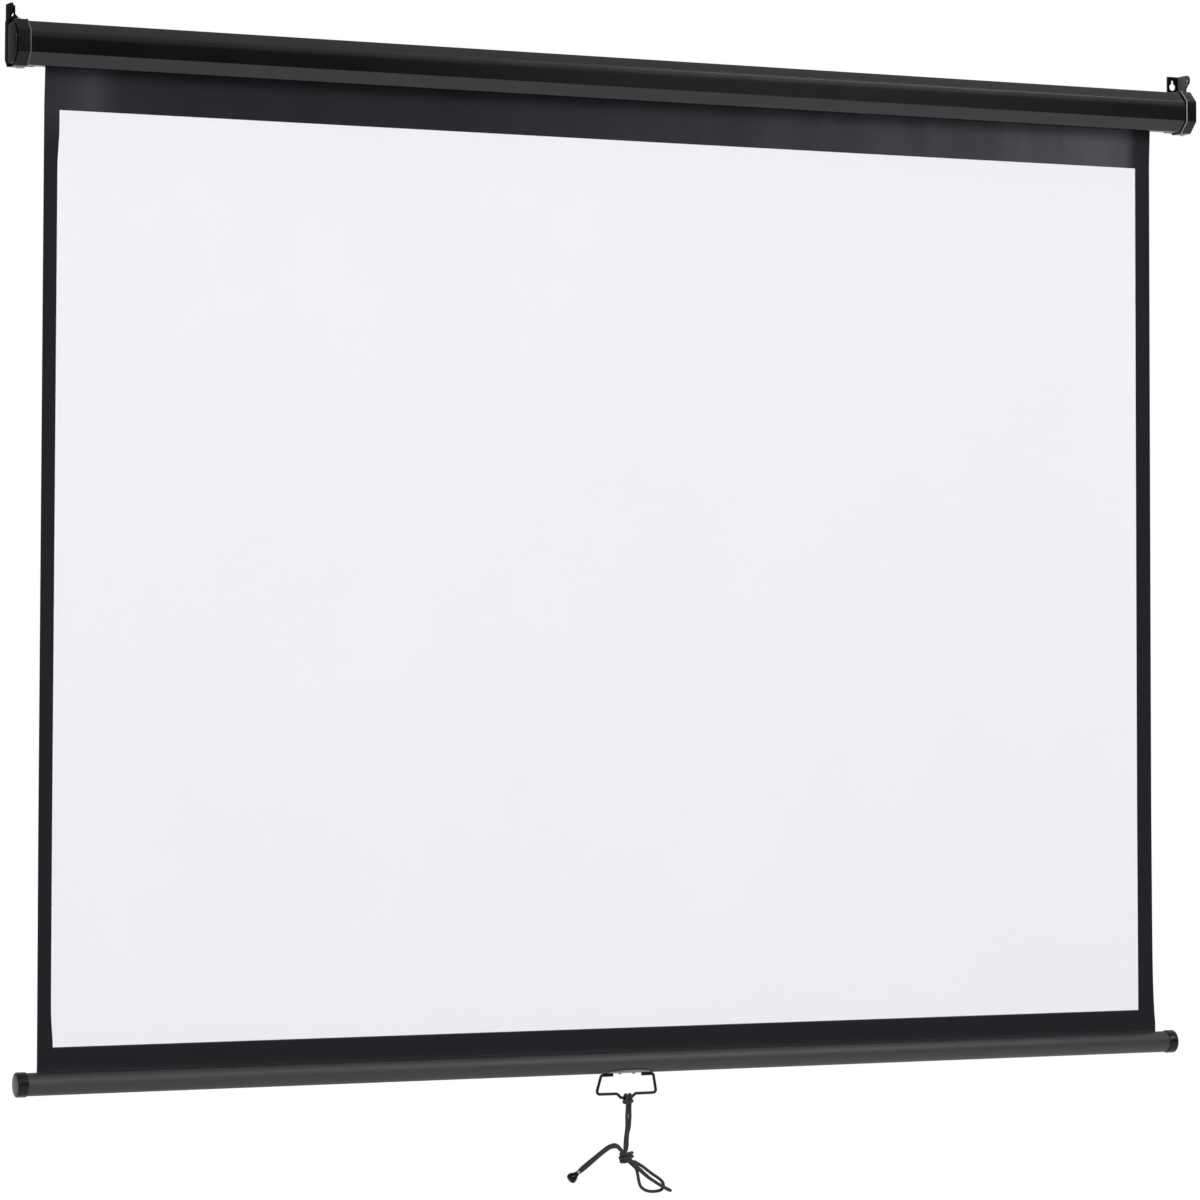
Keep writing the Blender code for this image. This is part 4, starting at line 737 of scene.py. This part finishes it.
def cloth_ripple(x, z):
    """How far the hanging cloth stands back of its plane: slow waves that fade at both ends."""
    hang = held((casing_foot - z) / 0.06) * held((z - white_foot) / 0.35)
    edge = min(x - cloth_left, cloth_right - x)
    curl = 1.6 * exp(-edge / 0.035)
    wave = 1.3 + 0.5 * sin(5.1 * x + 0.6) + 0.3 * sin(11.3 * x - 1.9 * z + 1.1)
    return (curl + wave) * hang * mm


def lines(*stops):
    """Even steps between stops, each given with the number of steps up to the next."""
    found = []
    for (a, count), (b, _) in zip(stops, stops[1:]):
        found += [a + (b - a) * k / count for k in range(count)]
    return found + [stops[-1][0]]


def keep_flat(obj):
    """Store every point's present place, so that the weave moves with the cloth."""
    flat = obj.data.attributes.new("flat", "FLOAT_VECTOR", "POINT")
    flat.data.foreach_set("vector", [c for v in obj.data.vertices for c in v.co])


def cloth_sheet(name, xs, zs, print_of, ripple):
    """A closed thin cloth: a printed front, a black back and cut edges."""
    bm = bmesh.new()
    walls = []
    for depth in (-cloth_thick / 2, cloth_thick / 2):
        grid = [[bm.verts.new((drawn(x, z), cloth_y + depth + ripple(x, z), z)) for z in zs] for x in xs]
        walls.append(grid)
        for i in range(len(xs) - 1):
            for j in range(len(zs) - 1):
                face = bm.faces.new((grid[i][j], grid[i + 1][j], grid[i + 1][j + 1], grid[i][j + 1]))
                middle = ((xs[i] + xs[i + 1]) / 2, (zs[j] + zs[j + 1]) / 2)
                face.material_index = print_of(*middle) if depth < 0 else 2
    front, back = walls
    for i in range(len(xs) - 1):
        for j in (0, len(zs) - 1):
            bm.faces.new((front[i][j], front[i + 1][j], back[i + 1][j], back[i][j])).material_index = 1
    for j in range(len(zs) - 1):
        for i in (0, len(xs) - 1):
            bm.faces.new((front[i][j], front[i][j + 1], back[i][j + 1], back[i][j])).material_index = 1
    bmesh.ops.recalc_face_normals(bm, faces=bm.faces)
    made = placed(name, bm, 60)
    keep_flat(made)
    for coat in (white_cloth, black_border, black_back, navy_line):
        made.data.materials.append(coat)
    return made


def painted_sheen_streaks(tree, place, apart):
    """Upright streaks of painted sheen on the border under the casing, some near its left end and ever more
    to the right.
    """
    along = ranged(tree, apart.outputs["X"], cloth_left, cloth_right)
    share = ramped(tree, along, [
        (0.0, 0.22), (1.0, 0.02), (0.022, 0.36), (0.038, 0.5), (0.06, 0.14), (0.12, 0.06), (0.35, 0.08),
        (0.62, 0.34), (0.8, 0.62), (0.93, 0.9), (0.975, 1.0), (0.985, 0.05)])
    stretched = fed(tree, "ShaderNodeMapping", {
        "Vector": place, "Scale": (14.0, 1.0, 3.0), "Rotation": (0, 0.35, 0)})
    streaks = ranged(tree, noise(tree, stretched, 1.0, 3.0), 0.35, 0.65, 0.75, 1.1)
    high = ranged(tree, apart.outputs["Z"], white_top - 0.06, white_top)
    return maths(tree, "MULTIPLY", maths(tree, "MULTIPLY", streaks, share), high)


def cloth_finish(name, dark, light, roughness, weave, relief, specular=0.5, streaks=False):
    """Coated cloth, with a fine even weave that keeps to the cloth, and with streaks of painted sheen if
    asked.
    """
    made, tree, shader = principled(name)
    place = joined(tree, "ShaderNodeAttribute", attribute_name="flat").outputs["Vector"]
    apart = joined(tree, "ShaderNodeSeparateXYZ", {0: place})
    threads = []
    for axis in ("X", "Z"):
        threads.append(maths(tree, "SINE", maths(tree, "MULTIPLY", apart.outputs[axis], 2 * pi / weave)))
    over = maths(tree, "MULTIPLY", *threads)
    height = maths(tree, "MULTIPLY_ADD", over, 0.35, noise(tree, place, 2600.0, 3.0))
    cloud = noise(tree, place, 3.5, 4.0)
    # With streaks the tone is painted sheen, without them it drifts at random
    tone_and_sheen = painted_sheen_streaks(tree, place, apart) if streaks else cloud
    feed(tree, shader, {
        "Base Color": blend(tree, tone_and_sheen, dark, light),
        "Roughness": ranged(tree, cloud, 0.0, 1.0, roughness - 0.05, roughness + 0.05),
        "Normal": bump(tree, height, 0.5, relief),
        "Specular IOR Level": specular})
    return made


def coating(x, z):
    """White in the viewing area, a navy line along its foot, and black round it."""
    if not white_left < x < white_right or z > white_top:
        return 1
    return 0 if z > white_foot else 3


white_cloth = cloth_finish("matt_white_cloth", (0.86, 0.86, 0.885), (0.89, 0.89, 0.915), 0.75, 0.9 * mm,
                           0.03 * mm, 0.25)
# The border's lighter tone is painted sheen, laid on in streaks under the casing
black_border = cloth_finish("black_border", (0.0064, 0.0066, 0.0095), (0.070, 0.067, 0.080), 0.50, 0.9 * mm,
                            0.03 * mm, 0.18, True)
black_back = cloth_finish("black_backing", (0.008, 0.008, 0.009), (0.014, 0.014, 0.015), 0.62, 0.7 * mm,
                          0.06 * mm)
navy_line = cloth_finish("navy_line", (0.003, 0.007, 0.036), (0.005, 0.010, 0.05), 0.55, 0.9 * mm, 0.03 * mm)
cloth_x = lines((cloth_left, 1), (cloth_left + 3 * mm, 4), (white_left, 110), (white_right, 5),
                (cloth_right - 3 * mm, 1), (cloth_right, 0))
cloth_z = lines((cloth_top, 2), (casing_foot, 12), (white_top, 12), (white_top - 0.12, 50),
                (white_foot + 0.12, 12), (white_foot, 1), (line_foot, 0))
screen = cloth_sheet("screen_cloth", cloth_x, cloth_z, coating, cloth_ripple)
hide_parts("screen_sheet")
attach(screen, "casing")
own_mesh(screen)

# The border below the viewing area rides with the tube, and folds round the rod as the hem
lower = cloth_sheet("lower_border", cloth_x, lines((line_foot, 4), (weld_z + weld_lap, 0)),
                    lambda x, z: 1, lambda x, z: 0.0)
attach(lower, "bar")
ply = 0.35 * mm
loop_radius = 4.5 * mm
neck = hem_z + 8.3 * mm
lean = acos(loop_radius / (neck - hem_z))
hem_line = [(0, weld_z + weld_lap), (-ply, weld_z + 2 * mm), (-ply, neck)]
for k in range(33):
    turn = pi / 2 + lean + (2 * pi - 2 * lean) * k / 32
    hem_line.append((loop_radius * cos(turn), hem_z + loop_radius * sin(turn)))
hem_line += [(ply, neck), (ply, weld_z)]
bm = bmesh.new()
near, far = [[bm.verts.new((x, cloth_y + y, z)) for y, z in hem_line]
             for x in (cloth_left, drawn(cloth_right, weld_z + weld_lap))]
for a, b, c, d in zip(near, near[1:], far[1:], far):
    bm.faces.new((a, b, c, d))
hem = from_bmesh("hem_pocket", bm)
add_wall(hem, cloth_thick, 0)
keep_flat(hem)
hem.data.materials.append(black_border)
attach(hem, "bar")

# A dark red line of heat-set thread runs along the weld
weld_thread = finish("weld_line", (0.045, 0.006, 0.008), (0.07, 0.01, 0.012), 0.6, 0.05, 900, 0.02 * mm,
                     patch=60)
thread_y, thread_z = cloth_y - ply - cloth_thick / 2, weld_z - 12.4 * mm
thread_x = lines((cloth_left + 2 * mm, 40), (cloth_right - 2 * mm, 0))
weld = swept("weld_line", [Vector((x, thread_y, thread_z)) for x in thread_x], 0.5 * mm, 8)
weld.data.materials.append(weld_thread)
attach(weld, "bar")


# Cloth on the roller
# The last turns of the same cloth stay on the roller when the screen is down.
# Tape under the first turn holds them to the tube.
roller_y = -38 * mm
wraps, wrap_pitch, first_wrap = 2, 0.7 * mm, 14.5 * mm
turns = grown("cloth_turns", rolled, {
    "Length": 2 * fabric_half, "Radius": first_wrap, "Start": 0.0, "Sweep": 2 * pi * wraps,
    "Growth": wraps * wrap_pitch, "Middle": (fabric_middle, roller_y, 0), "Steps": 145, "Finish": black_back})
add_wall(turns, cloth_thick, 0)
keep_flat(turns)
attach(turns, "roller")
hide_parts("fabric_roll")


# Roller, its plugs and its lock
# A steel tube with a nylon plug in each end. The left plug turns on a pin in a bush, the right one on the
# fixed shaft. The lock is a pressed ratchet on the shaft, and a steel pawl on the plug drops into its teeth.
nylon = finish("natural_nylon", (0.58, 0.57, 0.52), (0.68, 0.67, 0.62), 0.48, 0.07, 900, 0.03 * mm, patch=50)
feed(nylon.node_tree, nylon.node_tree.nodes["Principled BSDF"], {
    "Subsurface Weight": 0.08, "Subsurface Scale": 2 * mm})
rolled_steel = finish("rolled_steel", (0.30, 0.30, 0.31), (0.46, 0.46, 0.47), 0.38, 0.1, 160, 0.02 * mm, 1.0,
                      patch=12, stretch=(0.15, 1, 1))
for node, coat in (("roller_tube", rolled_steel), ("idle_plug", nylon), ("lock_plug", nylon),
                   ("idle_bush", nylon), ("spring_anchor", nylon), ("idle_pin", zinc), ("spring_shaft", zinc),
                   ("ratchet_wheel", zinc), ("lock_pawl", zinc), ("pawl_pin", zinc)):
    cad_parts[node].data.materials.clear()
    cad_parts[node].data.materials.append(coat)


# Torsion spring
# Oiled spring wire wound round the shaft, inside the roller's tube.
# It winds up as the screen is pulled down, and pulls the cloth back up.
coil, given = geometry_tree("wound coil", Length="Float", Radius="Float", Turns="Float", Wire="Float",
                            Start="Vector", Steps="Int")
helix = fed(coil, "GeometryNodeCurveSpiral", {
    "Resolution": given["Steps"], "Rotations": given["Turns"], "Start Radius": given["Radius"],
    "End Radius": given["Radius"], "Height": given["Length"]})
laid = fed(coil, "GeometryNodeTransform", {
    "Geometry": helix, "Translation": given["Start"], "Rotation": (0, pi / 2, 0)})
section = fed(coil, "GeometryNodeCurvePrimitiveCircle", {"Resolution": 12, "Radius": given["Wire"]})
wound = fed(coil, "GeometryNodeCurveToMesh", {"Curve": laid, "Profile Curve": section, "Fill Caps": True})
completed(coil, given, fed(coil, "GeometryNodeSetShadeSmooth", {0: wound}))
spring_steel = finish("oiled_spring_steel", (0.20, 0.19, 0.18), (0.32, 0.31, 0.29), 0.3, 0.08, 700,
                      0.02 * mm, 1.0, patch=40)
spring_wire = 1.2 * mm
spring_low, spring_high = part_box("torsion_spring")
spring = grown("spring_coil", coil, {
    "Length": spring_high.x - spring_low.x - 2 * spring_wire, "Radius": 8.5 * mm, "Turns": 30.0,
    "Wire": spring_wire, "Start": (spring_low.x + spring_wire, roller_y, 0), "Steps": 24,
    "Finish": spring_steel})
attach(spring, "casing")
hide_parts("torsion_spring")


# Casing shell
# One steel sheet, powder coated and rolled to an eight-sided section that is open along its underside.
# The front leans back below its upper fold, with a fine groove above it. The slot's front edge is turned up.
casing_paint = finish("casing_powder_coat", (0.0007, 0.0007, 0.0008), (0.0014, 0.0014, 0.0016), 0.21, 0.03,
                      650, 0.03 * mm, patch=10)
cap_end = 1108
shell_half, shell_wall = (cap_end - 3 - 0.3) * mm, 1.2 * mm
front_face = [(-29, -32.5, 0), (-29, -36, 1.2), (-46, -36, 2.5), (-65, -17.5, 2.5), (-65, 7.7, 60),
              (-64.06, 17.5, 1.2)]
up_slope = Vector((18.06, 18.5)).normalized()
in_slope = Vector((up_slope.y, -up_slope.x))
fold = Vector((-64.06, 17.5))
groove = [(*(fold + up_slope * 1.3), 0.3), (*(fold + up_slope * 1.9 + in_slope * 0.5), 0.25),
          (*(fold + up_slope * 2.5 + in_slope * 0.5), 0.25), (*(fold + up_slope * 3.1), 0.3)]
top_and_rear = [(-46, 36, 2.5), (-19, 36, 2.5), (0, 17.5, 2.5), (0, -17.5, 2.5), (-17, -34.05, 0)]


def set_in(path, depth):
    """The path moved sideways by a wall's thickness, with mitred corners."""
    inner = []
    for i, here in enumerate(path):
        ways = []
        if i:
            ways.append((here - path[i - 1]).normalized())
        if i < len(path) - 1:
            ways.append((path[i + 1] - here).normalized())
        sides = [Vector((w.y, -w.x)) for w in ways]
        mean = sum(sides, Vector((0, 0))).normalized()
        inner.append(here + mean * (depth / mean.dot(sides[0])))
    return inner


outer = rounded(front_face + groove + top_and_rear, 8)
inner = set_in(rounded(front_face + top_and_rear, 8), shell_wall)
bm = bmesh.new()
loops = []
for x in (-shell_half, -shell_half + 0.3 * mm, shell_half - 0.3 * mm, shell_half):
    loops.append([bm.verts.new((x, p.x, p.y)) for p in outer + inner[::-1]])
for a, b in zip(loops, loops[1:]):
    for i in range(len(a)):
        k = (i + 1) % len(a)
        bm.faces.new((a[i], a[k], b[k], b[i]))
bm.faces.new(loops[0])
bm.faces.new(loops[-1])
bmesh.ops.recalc_face_normals(bm, faces=bm.faces)
shell = placed("casing_profile", bm, 30)
shell.data.materials.append(casing_paint)
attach(shell, "casing")
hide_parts("casing_shell")


# End caps
# Moulded black plastic, pushed over the casing's ends. A raised rim runs round each mouth, and a tongue
# closes the end of the slot. The rims carry a painted highlight, paler than the rest.
def eased(node, name, width, coat, body):
    """A copy of a CAD piece with its flat faces made whole and its edges eased, which stands for it."""
    bm = bmesh.new()
    bm.from_mesh(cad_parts[node].data)
    bmesh.ops.remove_doubles(bm, verts=bm.verts, dist=touching)
    bmesh.ops.dissolve_limit(bm, angle_limit=radians(0.6), verts=bm.verts, edges=bm.edges)
    made = from_bmesh(name, bm)
    ease_edges(made, width, 30)
    settled(made)
    bm = bmesh.new()
    bm.from_mesh(made.data)
    bmesh.ops.triangulate(bm, faces=bm.faces)
    bmesh.ops.dissolve_degenerate(bm, dist=2e-7, edges=bm.edges)
    bm.to_mesh(made.data)
    bm.free()
    made.data.materials.clear()
    made.data.materials.append(coat)
    smoothed(made, 50)
    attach(made, body)
    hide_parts(node)
    return made


def outside(y, z):
    """How far a place lies outside the casing's eight faces."""
    slope = Vector((18.5, 19)).normalized()
    return max(-y - 65 * mm, abs(z) - 36 * mm, -slope.x * (y + 46 * mm) + slope.y * (abs(z) - 36 * mm),
               slope.x * (y + 19 * mm) + slope.y * (abs(z) - 36 * mm))


# Painted highlights for the rims: a dim one and a bright one on the left cap, a grey one on the right cap
painted_rim_sheen, painted_edge_highlight, painted_rim_highlight = [
    finish(name, (dark,) * 3, (light,) * 3, 0.32, 0.05, 900, 0.01 * mm, patch=60)
    for name, dark, light in (("painted_rim_sheen", 0.06, 0.13), ("painted_edge_highlight", 0.7, 0.85), ("painted_rim_highlight", 0.22, 0.32))]
cap_mouth, bead_width = (cap_end - 21.5) * mm, 2.4 * mm
for side, way in (("left", -1), ("right", 1)):
    made = eased(side + "_end_cap", side + "_cap_moulding", 0.25 * mm, cap_plastic, "casing")
    for painted_coat in (painted_rim_sheen, painted_edge_highlight) if side == "left" else (painted_rim_sheen, painted_rim_highlight):
        made.data.materials.append(painted_coat)
    for face in made.data.polygons:
        # The rim gets a painted highlight, but for its end face round the mouth
        along = abs(face.center.x) - cap_mouth
        on_rim = -0.1 * mm < along < bead_width - 0.3 * mm
        if on_rim and outside(face.center.y, face.center.z) > 0.9 * mm and face.normal.x * way > -0.9:
            face.material_index = 2 if side == "right" or abs(face.normal.x) > 0.9 else 1


# Cap screws
# Nickel-plated steel screws with a pan head and a cross recess.
# One through the top and one through the foot of each cap hold it to the casing.
screws, given = geometry_tree("pan head screws", Radius="Float", Height="Float", Turn="Vector")
cut = shaped_ball(screws, 20, lambda z: maths(screws, "POWER", maths(screws, "MAXIMUM", z, 0.0), 0.6))
for arm_size, arm_height in (((1.05, 0.2, 1.0), 0.98), ((0.2, 1.05, 1.0), 0.99)):
    arm = fed(screws, "GeometryNodeMeshCube", {"Size": arm_size})
    sunk = fed(screws, "GeometryNodeTransform", {"Geometry": arm, "Translation": (0, 0, arm_height)})
    cut = fed(screws, "GeometryNodeMeshBoolean", {0: cut, 1: sunk}, operation="DIFFERENCE")
turn = fed(screws, "FunctionNodeEulerToRotation", {0: given["Turn"]})
completed(screws, given, on_points(screws, given, cut, Rotation=turn))
nickel = finish("nickel_screw", (0.30, 0.30, 0.30), (0.46, 0.46, 0.45), 0.3, 0.06, 700, 0.01 * mm, 1.0,
                patch=90)
screw_x, screw_y, cap_top = 1098 * mm, -33 * mm, 38.3 * mm
for where, spin, height in (("top", (0, 0, 0.5), cap_top), ("lower", (pi, 0, 0.3), -cap_top)):
    made = grown(where + "_cap_screws", screws, {
        "Radius": 4.6 * mm, "Height": 3.2 * mm, "Turn": spin, "Finish": nickel},
        [(-screw_x, screw_y, height), (screw_x, screw_y, height)])
    smoothed(made, 35)
    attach(made, "casing")


# End covers
# Thin domed mouldings of the caps' black plastic.
# Each snaps on in front of a bracket plate and hides the cap's end.
for side in ("left", "right"):
    eased(side + "_end_cover", side + "_cover_moulding", 0.15 * mm, cap_plastic, "casing")


# Hang brackets
# Pressed from 3 mm steel plate, bent and painted, one at each end of the casing.
# Each has an ear with a hook hole for a ceiling, and a flange with a keyhole for a wall.
black_bracket = finish("black_bracket", (0.0008, 0.0008, 0.0009), (0.0016, 0.0016, 0.0017), 0.4, 0.06, 650,
                       0.03 * mm, patch=40, specular=0.07)
# The right ear's grey is painted light on the bracket's black paint
lit_bracket_paint = finish("lit_bracket_paint", (0.088, 0.088, 0.089), (0.115, 0.115, 0.116), 0.4, 0.06, 650, 0.03 * mm,
                      patch=40)
eased("left_hang_bracket", "left_bracket_plate", 0.25 * mm, black_bracket, "casing")
made = eased("right_hang_bracket", "right_bracket_plate", 0.25 * mm, lit_bracket_paint, "casing")
made.data.materials.append(black_bracket)
for face in made.data.polygons:
    # The ear gets a painted light grey, and the flange, which stands against the wall, keeps the black paint
    if abs(face.normal.y) > 0.7:
        face.material_index = 1
